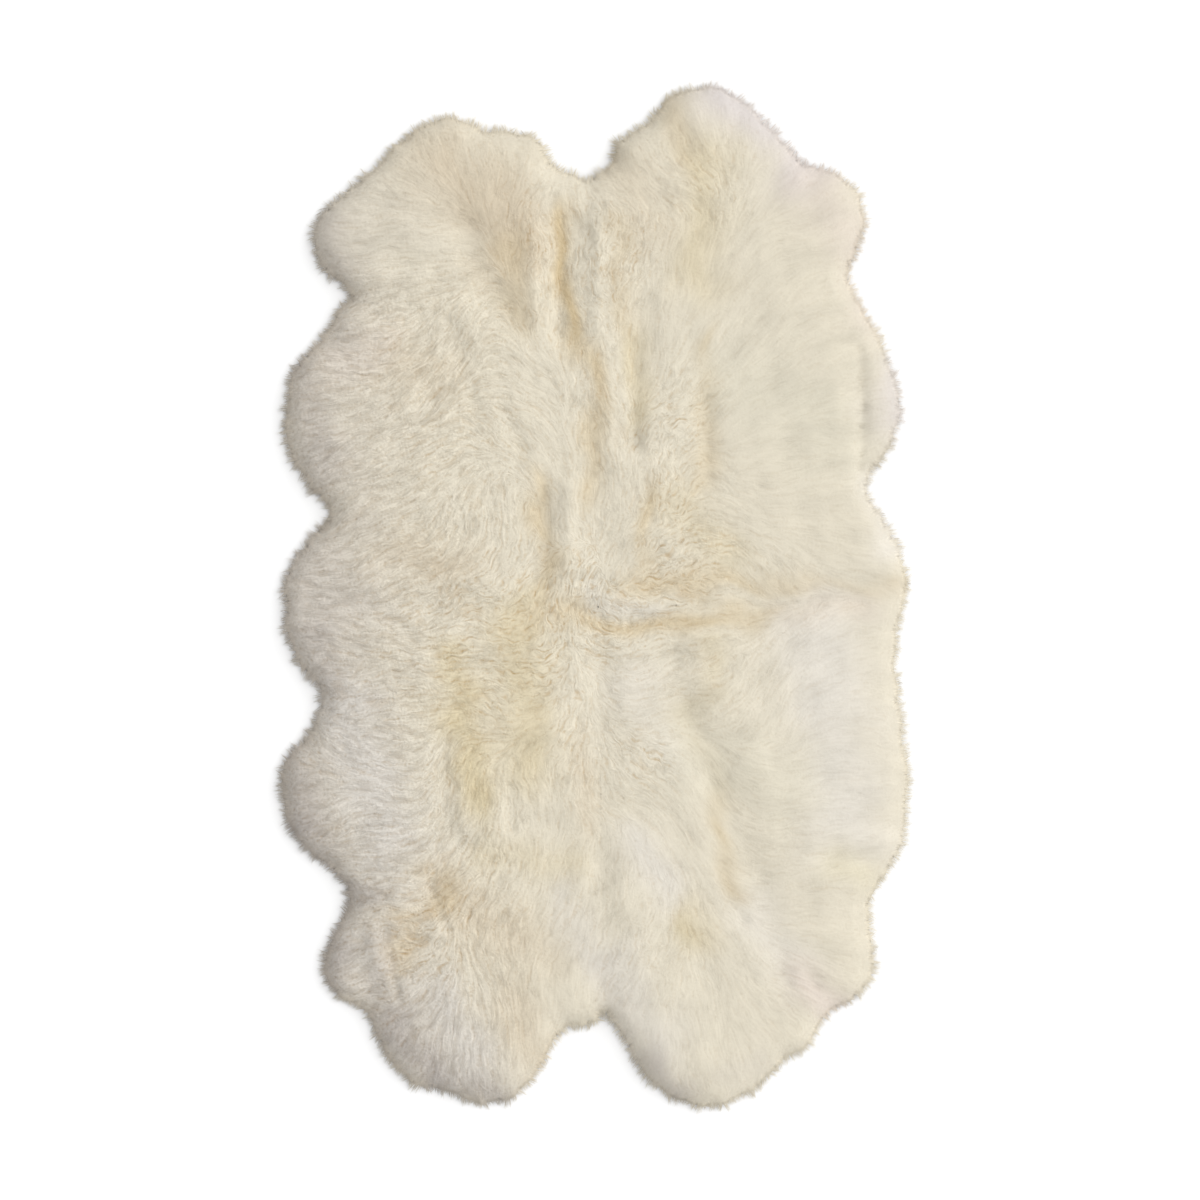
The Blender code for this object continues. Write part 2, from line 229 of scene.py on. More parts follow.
LOWER_LEFT_SWEEPS = tuple(Sweep(*row) for row in (
    (-400, -25, -530, -20, 0.10), (-400, -90, -500, -68, 0.15), (-310, -75, -400, -55, 0.20),
    (-330, 0, -370, -20, 0.60), (-400, -118, -470, -140, 0.20), (-390, -170, -450, -190, 0.30),
    (-250, -150, -370, -150, 0.20), (-230, -70, -300, -72, 0.30), (-400, -265, -470, -222, 0.20),
    (-300, -250, -390, -248, 0.15), (-330, -320, -430, -302, 0.15), (-440, -335, -540, -350, 0.15),
    (-430, -400, -500, -440, 0.25), (-270, -400, -400, -402, 0.15), (-260, -280, -262, -380, 0.30),
    (-235, -400, -262, -460, 0.30), (-195, -400, -193, -490, 0.30), (-155, -330, -138, -420, 0.30),
    (-210, -100, -260, -120, 0.80), (-150, -50, -210, -60, 0.70), (-100, -150, -150, -160, 0.90),
    (-60, -230, -120, -232, 0.50), (-120, -250, -190, -255, 0.40), (-55, -200, -42, -300, 0.70),
    (-100, -300, -98, -390, 0.30), (-340, -470, -450, -465, 0.15), (-400, -495, -460, -515, 0.15),
    (-370, -528, -430, -548, 0.30), (-330, -580, -360, -545, 0.60), (-380, -590, -460, -605, 0.20),
    (-400, -630, -470, -660, 0.20), (-385, -670, -425, -700, 0.20), (-290, -590, -310, -650, 0.70),
    (-270, -670, -340, -700, 0.40), (-340, -700, -400, -740, 0.15), (-290, -730, -345, -810, 0.15),
    (-270, -760, -295, -850, 0.10), (-240, -700, -240, -860, 0.12), (-205, -650, -190, -750, 0.20),
    (-190, -780, -180, -880, 0.10), (-165, -640, -135, -730, 0.15), (-130, -760, -110, -850, 0.10),
    (-90, -610, -70, -730, 0.20), (-30, -580, -80, -620, 0.40), (-75, -510, -120, -570, 0.35),
    (-50, -420, -60, -530, 0.35), (-180, -490, -250, -520, 0.40), (-200, -560, -200, -640, 0.40),
    (-20, -650, -25, -760, 0.15),
))

LOWER_RIGHT_SWEEPS = tuple(Sweep(*row) for row in (
    (30, -60, 100, -75, 0.90), (120, -95, 200, -85, 0.50), (180, -72, 260, -45, 0.40),
    (270, -62, 350, -30, 0.30), (215, -130, 260, -95, 0.40), (220, -190, 245, -140, 0.40),
    (60, -160, 110, -125, 0.40), (130, -185, 210, -178, 0.40), (40, -215, 140, -200, 0.30),
    (250, -220, 285, -170, 0.30), (320, -200, 340, -130, 0.25), (330, -240, 400, -160, 0.20),
    (360, -260, 440, -215, 0.15), (330, -110, 380, -60, 0.25), (380, -110, 430, -80, 0.15),
    (430, -90, 540, -95, 0.05), (410, -190, 490, -215, 0.10), (420, -260, 530, -280, 0.05),
    (320, -310, 430, -308, 0.12), (330, -380, 420, -360, 0.18), (260, -430, 360, -430, 0.25),
    (350, -460, 420, -440, 0.20), (430, -400, 530, -395, 0.05), (170, -225, 270, -310, 0.20),
    (180, -320, 250, -430, 0.15), (140, -370, 200, -480, 0.15), (80, -370, 130, -430, 0.20),
    (30, -280, 22, -340, 0.40), (60, -270, 95, -290, 0.90), (30, -370, 90, -372, 0.40),
    (15, -180, 15, -260, 0.60), (25, -430, 15, -520, 0.30), (60, -500, 40, -590, 0.30),
    (60, -580, 20, -660, 0.30), (115, -610, 50, -655, 0.50), (110, -460, 150, -560, 0.25),
    (170, -560, 185, -640, 0.50), (200, -470, 250, -590, 0.15), (270, -485, 370, -482, 0.20),
    (300, -535, 410, -525, 0.15), (260, -550, 340, -580, 0.20), (380, -565, 480, -580, 0.10),
    (230, -600, 310, -660, 0.20), (330, -640, 400, -680, 0.20), (430, -620, 490, -635, 0.10),
    (320, -690, 390, -760, 0.20), (390, -680, 470, -715, 0.12), (250, -680, 300, -780, 0.12),
    (290, -770, 330, -830, 0.10), (195, -670, 215, -780, 0.15), (200, -800, 225, -890, 0.12),
    (250, -800, 285, -870, 0.10), (140, -680, 148, -800, 0.12), (160, -820, 165, -890, 0.30),
    (120, -780, 95, -850, 0.10), (85, -710, 50, -770, 0.10), (120, -620, 125, -670, 0.50),
))

SWEEPS = UPPER_LEFT_SWEEPS + UPPER_RIGHT_SWEEPS + LOWER_LEFT_SWEEPS + LOWER_RIGHT_SWEEPS

# The darkest grey patches, and the broad grey ones over the left side, are painted shade where the wool faces
# away from the light and at its rims, notches and folds; the rest are the wool's own tints.
UPPER_PATCHES = tuple(Patch(*row) for row in (
    (-270, 760, -150, 640, 65, Tint.TAN, 0.85), (-160, 740, -140, 600, 45, Tint.TAN, 0.60),
    (-150, 600, -125, 480, 30, Tint.HONEY, 0.45), (-60, 670, -50, 470, 16, Tint.HONEY, 0.95),
    (-520, 640, -530, 0, 170, Tint.GREY_AND_SHADE, 0.60), (-40, 470, -5, 380, 18, Tint.HONEY, 0.60),
    (-5, 380, -10, 180, 20, Tint.HONEY, 0.50), (-330, 400, -260, 380, 45, Tint.TAN, 0.35),
    (-440, 430, -380, 440, 50, Tint.ROSE, 0.40), (-525, 400, -485, 230, 36, Tint.SHADE, 0.55),
    (-480, 650, -440, 560, 28, Tint.SHADE, 0.50), (-430, 500, -440, 440, 30, Tint.GREY_AND_SHADE, 0.50),
    (-330, 80, -230, 50, 35, Tint.TAN, 0.55), (-100, 210, -85, 60, 16, Tint.HONEY, 0.60),
    (-85, 60, -100, -40, 20, Tint.HONEY, 0.50), (-530, 60, -480, -20, 40, Tint.GREY_AND_SHADE, 0.40),
    (150, 850, 170, 740, 28, Tint.HONEY, 0.40), (200, 750, 180, 560, 45, Tint.OCHRE, 0.60),
    (230, 890, 380, 760, 50, Tint.LAVENDER, 0.90), (60, 740, 100, 640, 45, Tint.TAN, 0.40),
    (45, 650, 60, 480, 20, Tint.HONEY, 0.35), (65, 460, 85, 300, 20, Tint.OCHRE, 0.60),
    (200, 460, 195, 200, 16, Tint.HONEY, 0.60), (380, 740, 440, 650, 50, Tint.ROSE, 0.60),
    (460, 600, 490, 480, 25, Tint.ROSE, 0.60), (250, 380, 420, 300, 90, Tint.SAGE, 0.60),
    (530, 400, 545, 300, 40, Tint.LAVENDER, 0.80), (100, 190, 105, 50, 14, Tint.HONEY, 0.60),
    (150, 170, 230, 60, 40, Tint.OCHRE, 0.45), (60, 22, 380, 20, 20, Tint.HONEY, 0.32),
    (500, 190, 530, 90, 35, Tint.CHALK, 0.90), (80, 15, 540, 10, 13, Tint.HONEY, 0.30),
    (-60, -25, 80, -60, 15, Tint.HONEY, 0.65), (80, -60, 200, -30, 15, Tint.HONEY, 0.65),
    (200, -40, 470, -25, 13, Tint.HONEY, 0.50), (350, -40, 480, -20, 25, Tint.ROSE, 0.50),
    (-20, 0, 110, -25, 16, Tint.CHALK, 0.50),
))

# The darkest grey patches, and the broad grey ones over the left side and the foot, are painted shade where
# the wool faces away from the light and at its rims, notches and folds; the rest are the wool's own tints.
LOWER_PATCHES = tuple(Patch(*row) for row in (
    (-540, 0, -520, -500, 170, Tint.GREY_AND_SHADE, 0.65), (-440, -600, -260, -860, 110, Tint.GREY_AND_SHADE, 0.70),
    (70, -150, 110, -260, 45, Tint.CHALK, 0.50), (200, -80, 215, -180, 20, Tint.OCHRE, 0.50),
    (170, -200, 210, -330, 20, Tint.OCHRE, 0.40), (220, -360, 235, -520, 14, Tint.HONEY, 0.60),
    (165, -560, 190, -600, 26, Tint.OCHRE, 0.80), (400, -80, 440, -420, 75, Tint.CHALK, 0.90),
    (180, -280, 330, -330, 80, Tint.SAGE, 0.50), (430, -470, 470, -480, 35, Tint.STRAW, 0.60),
    (80, -440, 120, -500, 40, Tint.CHALK, 0.80), (30, -640, 110, -780, 45, Tint.CHALK, 0.70),
    (280, -560, 350, -640, 50, Tint.CHALK, 0.60), (370, -670, 410, -720, 32, Tint.ROSE, 0.90),
    (90, -810, 160, -870, 24, Tint.SHADE, 0.70), (10, -650, 60, -760, 14, Tint.GREY_AND_SHADE, 0.40),
    (230, -850, 300, -800, 25, Tint.GREY_AND_SHADE, 0.40), (-240, -130, -200, -350, 36, Tint.OCHRE, 0.95),
    (-130, -60, -110, -290, 50, Tint.OCHRE, 0.75), (-20, -260, -15, -400, 22, Tint.TAN, 0.50),
    (-190, -440, -40, -480, 25, Tint.OCHRE, 0.45), (-270, -530, -100, -620, 55, Tint.TAN, 0.60),
    (-285, -480, -260, -540, 18, Tint.HONEY, 0.60), (-345, -560, -330, -650, 20, Tint.HONEY, 0.50),
    (-430, -600, -400, -660, 25, Tint.CHALK, 0.50), (-440, -190, -360, -430, 70, Tint.PEARL, 0.80),
    (-500, -60, -470, -150, 30, Tint.SHADE, 0.55), (-540, -280, -520, -400, 35, Tint.SHADE, 0.70),
    (-520, -400, -420, -530, 28, Tint.SHADE, 0.70), (-460, -560, -460, -680, 28, Tint.SHADE, 0.80),
    (-380, -600, -350, -740, 16, Tint.SHADE, 0.70), (-370, -760, -280, -850, 30, Tint.SHADE, 0.80),
    (-280, -850, -170, -885, 26, Tint.SHADE, 0.70), (-270, -700, -220, -800, 45, Tint.PEARL, 0.60),
    (-150, -720, -110, -800, 40, Tint.TAN, 0.60), (-40, -540, 0, -640, 30, Tint.PEARL, 0.40),
))

PATCHES = UPPER_PATCHES + LOWER_PATCHES

CREASES = tuple(Crease(*row) for row in (
    (-60, 657, -61, 462, 12, -6), (-110, 640, -100, 480, 15, 5), (8, 640, 6, 470, 15, 5),
    (-90, 205, -82, 64, 13, -5), (-44, 190, -42, 70, 14, 5), (72, 435, 74, 258, 12, -5),
    (196, 347, 198, 205, 12, -4), (468, 435, 474, 330, 10, -3), (474, 330, 471, 223, 10, -3),
    (-58, -12, 64, -50, 9, -3), (64, -50, 188, -16, 9, -4), (188, -16, 294, -24, 9, -3),
    (294, -24, 541, -7, 9, -2), (-30, 8, 110, -22, 14, 4), (-365, -35, -320, -72, 15, -6),
    (-287, -511, -258, -585, 10, -6), (-366, -590, -343, -705, 10, -7), (-390, -580, -380, -650, 12, 5),
    (-275, -240, -256, -400, 14, -4), (-236, -250, -224, -410, 16, 4), (-145, -335, -146, -405, 11, -5),
    (170, -225, 240, -292, 14, -3), (205, -340, 242, -392, 13, -3), (220, -478, 262, -572, 14, -4),
    (326, -660, 336, -682, 14, -3), (380, -662, 390, -682, 14, -3), (-250, 480, -205, 330, 16, -4),
    (-160, 330, -120, 250, 14, -5), (-215, 590, -150, 520, 16, -4),
))


@dataclass
class Raster:
    """Numbers held at the points of a square grid over the rug, and read between them.

    Attributes:
        low: The grid's first point, in metres.
        step: The distance between neighbouring points, in metres.
        values: The numbers, with rows along Y, columns along X and any channels last.
    """

    low: tuple[float, float]
    step: float
    values: Array

    def at(self, places: Array) -> Array:
        """Reads the grid by bilinear weights: each of a cell's corners counts by its nearness.

        Args:
            places: Points whose last axis starts with X and Y, in metres.

        Returns:
            One value, or one row of channels, for each point.
        """
        # A place on the last point is read in the cell before it, since no cell comes after.
        rows, columns = self.values.shape[:2]
        column = np.clip((places[..., 0] - self.low[0]) / self.step, 0, columns - 1.001)
        row = np.clip((places[..., 1] - self.low[1]) / self.step, 0, rows - 1.001)
        i, j = column.astype(int), row.astype(int)
        across, along = column - i, row - j
        if self.values.ndim == 3:
            across, along = across[..., None], along[..., None]
        near = self.values[j, i] * (1 - across) + self.values[j, i + 1] * across
        far = self.values[j + 1, i] * (1 - across) + self.values[j + 1, i + 1] * across
        return near * (1 - along) + far * along

    def points(self) -> Array:
        """The grid's own points, as rows by columns by two."""
        rows, columns = self.values.shape[:2]
        x = self.low[0] + self.step * np.arange(columns)
        y = self.low[1] + self.step * np.arange(rows)
        return np.stack(np.meshgrid(x, y), axis=-1)

    def like(self, values: Array) -> "Raster":
        """A raster on the same grid with other values."""
        return Raster(self.low, self.step, values)

    def finer(self, step: float) -> "Raster":
        """An empty raster over the same ground with another step."""
        rows, columns = (int(side * self.step / step) for side in self.values.shape[:2])
        return Raster(self.low, step, np.zeros((rows, columns)))

    def blurred(self, spread: float) -> "Raster":
        """Spreads each value by a Gaussian bell: frequency f keeps the share exp(-2 (pi f spread)^2).

        Args:
            spread: The bell's standard deviation, in metres.

        Returns:
            The smoothed raster.
        """
        rows, columns = self.values.shape[:2]
        up = np.fft.fftfreq(rows, self.step)[:, None]
        right = np.fft.rfftfreq(columns, self.step)[None, :]
        kept = np.exp(-2 * (math.pi * spread) ** 2 * (up ** 2 + right ** 2))
        return self.like(np.fft.irfft2(np.fft.rfft2(self.values) * kept, s=(rows, columns)))

    def slope(self) -> "Raster":
        """The rate of climb along X and along Y, as two channels."""
        along, across = np.gradient(self.values, self.step)
        return self.like(np.stack([across, along], axis=-1))

    def noise(self, seed: int, spread: float, even: bool = False) -> "Raster":
        """Smooth random values with a mean of 0 and a deviation of 1, from blurred white noise.

        Args:
            seed: The start of the random numbers.
            spread: The size of the swells, in metres.
            even: Whether swells past twice that size are taken out again.

        Returns:
            The noise on this raster's grid.
        """
        white = self.like(np.random.default_rng(seed).standard_normal(self.values.shape[:2]))
        swells = white.blurred(spread).values
        if even:
            swells = swells - white.blurred(2 * spread).values
        return self.like((swells - swells.mean()) / swells.std())

    def closed(self) -> "Raster":
        """Fills the gaps that are one point wide: the highest of the neighbours, then the lowest of those."""
        filled = self._neighbours(self.values).max(axis=0)
        return self.like(self._neighbours(filled).min(axis=0))

    @staticmethod
    def _neighbours(values: Array) -> Array:
        """The nine neighbours of every point, the point itself among them."""
        rows, columns = values.shape
        padded = np.pad(values, 1, mode="edge")
        return np.stack([padded[j: j + rows, i: i + columns] for j in range(3) for i in range(3)])


def unit(vectors: Array) -> Array:
    """Scales the vectors on the last axis to length 1."""
    return vectors / np.maximum(np.linalg.norm(vectors, axis=-1, keepdims=True), 1e-12)


def ramp(values: Array, start: float, end: float) -> Array:
    """Runs softly from 0 at the start to 1 at the end, as 3 t^2 - 2 t^3.

    Args:
        values: The values that are judged.
        start: Where the run starts.
        end: Where it ends.

    Returns:
        Shares from 0 to 1.
    """
    share = np.clip((values - start) / (end - start), 0, 1)
    return share * share * (3 - 2 * share)


def between(ends: tuple[float, float], share: Array) -> Array:
    """Runs evenly from the first of two values, at a share of 0, to the second, at 1."""
    return ends[0] + (ends[1] - ends[0]) * share


def turned(vectors: Array, angles: Array) -> Array:
    """Turns flat vectors anticlockwise: (x cos a - y sin a, x sin a + y cos a).

    Args:
        vectors: The vectors, with X and Y on the last axis.
        angles: One angle for each, in radians.

    Returns:
        The turned vectors.
    """
    x, y = vectors[..., 0], vectors[..., 1]
    cosine, sine = np.cos(angles), np.sin(angles)
    return np.stack([x * cosine - y * sine, x * sine + y * cosine], axis=-1)


def distance(places: Array, start: Array, end: Array) -> Array:
    """The distance from each place to the straight stretch between two points.

    Args:
        places: The places, with X and Y on the last axis.
        start: The stretch's first point.
        end: Its last point.

    Returns:
        One distance for each place.
    """
    run = end - start
    share = np.clip(((places - start) @ run) / (run @ run), 0, 1)
    return np.linalg.norm(places - start - share[..., None] * run, axis=-1)


def fading(places: Array, stretch: Patch | Crease) -> Array:
    """How much a stretch counts at each place: exp(-(distance / width)^2).

    Args:
        places: The places, with X and Y on the last axis.
        stretch: The patch or crease.

    Returns:
        Shares from 0 to 1.
    """
    apart = distance(places, np.array(stretch[0:2]) * MM, np.array(stretch[2:4]) * MM)
    return np.exp(-((apart / (stretch.width_mm * MM)) ** 2))


def mesh_object(name: str, vertices: Array, faces: Array) -> bpy.types.Object:
    """Makes an object at the origin from arrays of points and of equal faces.

    Args:
        name: The object's name.
        vertices: Points, in metres.
        faces: Corner numbers, one row for each face.

    Returns:
        The new object, linked to the scene.
    """
    mesh = bpy.data.meshes.new(name)
    sides = faces.shape[1]
    mesh.vertices.add(len(vertices))
    mesh.vertices.foreach_set("co", vertices.astype(np.float32).ravel())
    mesh.loops.add(faces.size)
    mesh.loops.foreach_set("vertex_index", faces.astype(np.int32).ravel())
    mesh.polygons.add(len(faces))
    mesh.polygons.foreach_set("loop_start", np.arange(0, faces.size, sides, dtype=np.int32))
    mesh.update(calc_edges=True)
    mesh.validate()
    mesh.shade_smooth()
    piece = bpy.data.objects.new(name, mesh)
    bpy.context.scene.collection.objects.link(piece)
    return piece


def mesh_points(piece: bpy.types.Object) -> Array:
    """The places of a mesh's points, one row for each."""
    places = np.empty(len(piece.data.vertices) * 3, np.float32)
    piece.data.vertices.foreach_get("co", places)
    return places.reshape(-1, 3).astype(float)


class Layer(Enum):
    """What a mesh can store for each of its points, by the names of the type and of its values."""

    COLOUR = ("FLOAT_COLOR", "color")
    NUMBER = ("FLOAT", "value")
    VECTOR = ("FLOAT_VECTOR", "vector")


def give(piece: bpy.types.Object, name: str, kind: Layer, values: Array) -> None:
    """Stores one value for each point of a mesh.

    Args:
        piece: The object that takes the attribute.
        name: The attribute's name.
        kind: Whether it holds linear colours, numbers or vectors.
        values: One number or one row of three for each point.
    """
    if kind is Layer.COLOUR:
        values = np.column_stack([values, np.ones(len(values))])
    type_name, field_name = kind.value
    layer = piece.data.attributes.new(name, type_name, "POINT")
    layer.data.foreach_set(field_name, values.astype(np.float32).ravel())


def give_uv(piece: bpy.types.Object, name: str, corners: Array) -> None:
    """Stores a UV map, two numbers for each face corner.

    Args:
        piece: The object that takes the map.
        name: The map's name.
        corners: The map's points, in the order of the face corners.
    """
    layer = piece.data.uv_layers.new(name=name)
    layer.uv.foreach_set("vector", corners.astype(np.float32).ravel())


class Flow:
    """What comes out of a shader node; the plain operators on it add Math nodes."""

    def __init__(self, shader: "Shader", socket: bpy.types.NodeSocket) -> None:
        """Keeps the shader that holds the socket, and the socket."""
        self.shader = shader
        self.socket = socket

    def _math(self, operation: str, first: "Flow | float", second: "Flow | float") -> "Flow":
        """Adds one Math node and returns its result."""
        return self.shader.node("ShaderNodeMath", {"operation": operation}, {0: first, 1: second})

    def __add__(self, other: "Flow | float") -> "Flow":
        """This plus the other."""
        return self._math("ADD", self, other)

    def __radd__(self, other: float) -> "Flow":
        """The other plus this."""
        return self._math("ADD", other, self)

    def __sub__(self, other: "Flow | float") -> "Flow":
        """This less the other."""
        return self._math("SUBTRACT", self, other)

    def __rsub__(self, other: float) -> "Flow":
        """The other less this."""
        return self._math("SUBTRACT", other, self)

    def __mul__(self, other: "Flow | float") -> "Flow":
        """This times the other."""
        return self._math("MULTIPLY", self, other)

    def __rmul__(self, other: float) -> "Flow":
        """The other times this."""
        return self._math("MULTIPLY", other, self)


class Shader:
    """Builds one material's nodes."""

    def __init__(self, name: str) -> None:
        """Makes an empty material of that name."""
        self.material = bpy.data.materials.new(name)
        self.material.use_nodes = True
        self.tree = self.material.node_tree
        self.tree.nodes.clear()

    def node(self, kind: str, settings: dict, inputs: dict, output: int | str = 0) -> Flow:
        """Adds a node, sets it, then fills its sockets.

        Args:
            kind: The node's type.
            settings: The node's own properties, such as a Math node's operation.
            inputs: Values or flows by a socket's number, name or identifier.
            output: The number or name of the socket that is returned.

        Returns:
            What comes out of the node.
        """
        made = self.tree.nodes.new(kind)
        for key, setting in settings.items():
            setattr(made, key, setting)
        for key, given in inputs.items():
            socket = self._socket(made.inputs, key)
            if isinstance(given, Flow):
                self.tree.links.new(given.socket, socket)
            else:
                socket.default_value = given
        return Flow(self, self._socket(made.outputs, output))

    @staticmethod
    def _socket(sockets: Sequence[bpy.types.NodeSocket], key: int | str) -> bpy.types.NodeSocket:
        """Finds a socket by its number, its identifier or its name."""
        if isinstance(key, int):
            return sockets[key]
        return next(socket for socket in sockets if key in (socket.identifier, socket.name))

    def attribute(self, name: str, output: str = "Color") -> Flow:
        """What a mesh stores under that name, as its "Color", its "Vector" or its number, "Fac"."""
        return self.node("ShaderNodeAttribute", {"attribute_name": name}, {}, output)

    def uv(self, name: str) -> Flow:
        """The piece's own UV map of that name."""
        return self.node("ShaderNodeUVMap", {"uv_map": name}, {})

    def place(self) -> Flow:
        """The point on the object, in metres."""
        return self.node("ShaderNodeTexCoord", {}, {}, "Object")

    def noise(self, place: Flow, scale: float, detail: float = 2.0, roughness: float = 0.5) -> Flow:
        """Soft noise from 0 to 1.

        Args:
            place: Where the noise is read.
            scale: Swells for each unit of the place.
            detail: Octaves of finer noise.
            roughness: The share that each finer octave keeps.

        Returns:
            The noise.
        """
        values = {"Vector": place, "Scale": scale, "Detail": detail, "Roughness": roughness}
        return self.node("ShaderNodeTexNoise", {}, values, "Fac")

    def fibres(self, place: Flow, lay: Flow, scale: float, stride: float, reads: int) -> Flow:
        """Fine lines along a direction: the mean of noise read at uneven steps along it.

        Args:
            place: Where the lines are read.
            lay: Their direction, as long as one step of the longest lines.
            scale: Lines for each metre.
            stride: The share of that step between two reads.
            reads: How many reads the mean takes.

        Returns:
            The lines, from 0 to 1.
        """
        total: Flow | float = 0.0
        for number in range(reads):
            uneven = 0.4 * math.sin(5.0 * number * number)
            along = self.scaled(lay, stride * (number - (reads - 1) / 2 + uneven))
            total = total + (self.noise(self._vector("ADD", place, along), scale, 0.0) - 0.5)
        return total * (1.6 / math.sqrt(reads)) + 0.5

    def bent(self, place: Flow, reach: Flow, scale: float) -> Flow:
        """A place moved to and fro by soft swells, so that straight lines read there run in waves.

        Args:
            place: The place.
            reach: How far it moves, in metres.
            scale: Swells for each metre.

        Returns:
            The moved place.
        """
        values = {"Vector": place, "Scale": scale, "Detail": 0.0}
        swells = self.node("ShaderNodeTexNoise", {}, values, "Color")
        even = self._vector("SUBTRACT", swells, (0.5, 0.5, 0.5))
        return self._vector("ADD", place, self.scaled(even, reach))

    def clamped(self, number: Flow) -> Flow:
        """A number held between 0 and 1."""
        return self.node("ShaderNodeClamp", {}, {"Value": number}, "Result")

    def mix(self, share: Flow | float, first: Flow | Colour, second: Flow | Colour) -> Flow:
        """Blends two colours.

        Args:
            share: How much of the second colour shows, from 0 to 1.
            first: The colour at 0.
            second: The colour at 1.

        Returns:
            The blend.
        """
        pair = [ends if isinstance(ends, Flow) else (*ends, 1.0) for ends in (first, second)]
        inputs = {"Factor_Float": share, "A_Color": pair[0], "B_Color": pair[1]}
        settings = {"data_type": "RGBA", "clamp_factor": True}
        return self.node("ShaderNodeMix", settings, inputs, "Result_Color")

    def _vector(self, operation: str, first: Flow | Colour, second: Flow | Colour) -> Flow:
        """Adds one Vector Math node and returns its result."""
        return self.node("ShaderNodeVectorMath", {"operation": operation}, {0: first, 1: second})

    def scaled(self, colour: Flow | Colour, share: Flow | float) -> Flow:
        """A colour or vector times a number."""
        return self.node("ShaderNodeVectorMath", {"operation": "SCALE"}, {0: colour, "Scale": share})

    def dulled(self, colour: Flow, loss: Colour, share: Flow) -> Flow:
        """A colour less what it loses of itself: colour times (1 - share times loss).

        Args:
            colour: The colour.
            loss: How much of red, green and blue is lost at a share of 1.
            share: How far the loss has gone, from 0 to 1.

        Returns:
            What is left of the colour.
        """
        kept = self._vector("SUBTRACT", (1.0, 1.0, 1.0), self.scaled(loss, share))
        return self._vector("MULTIPLY", colour, kept)

    def bump(self, height: Flow, distance: float, strength: float) -> Flow:
        """A normal that leans as a relief would.

        Args:
            height: The relief, from 0 to 1.
            distance: The relief's full height, in metres.
            strength: How much of it shows.

        Returns:
            The leaning normal.
        """
        values = {"Height": height, "Distance": distance, "Strength": strength}
        return self.node("ShaderNodeBump", {}, values, "Normal")

    def finish(self, **sockets: object) -> bpy.types.Material:
        """Ends the material in a Principled shader.

        Args:
            **sockets: Its inputs, by name with _ for a space.

        Returns:
            The finished material.
        """
        named = {key.replace("_", " "): given for key, given in sockets.items()}
        surface = self.node("ShaderNodeBsdfPrincipled", {}, named, "BSDF")
        output = self.tree.nodes.new("ShaderNodeOutputMaterial")
        self.tree.links.new(surface.socket, output.inputs["Surface"])
        return self.material


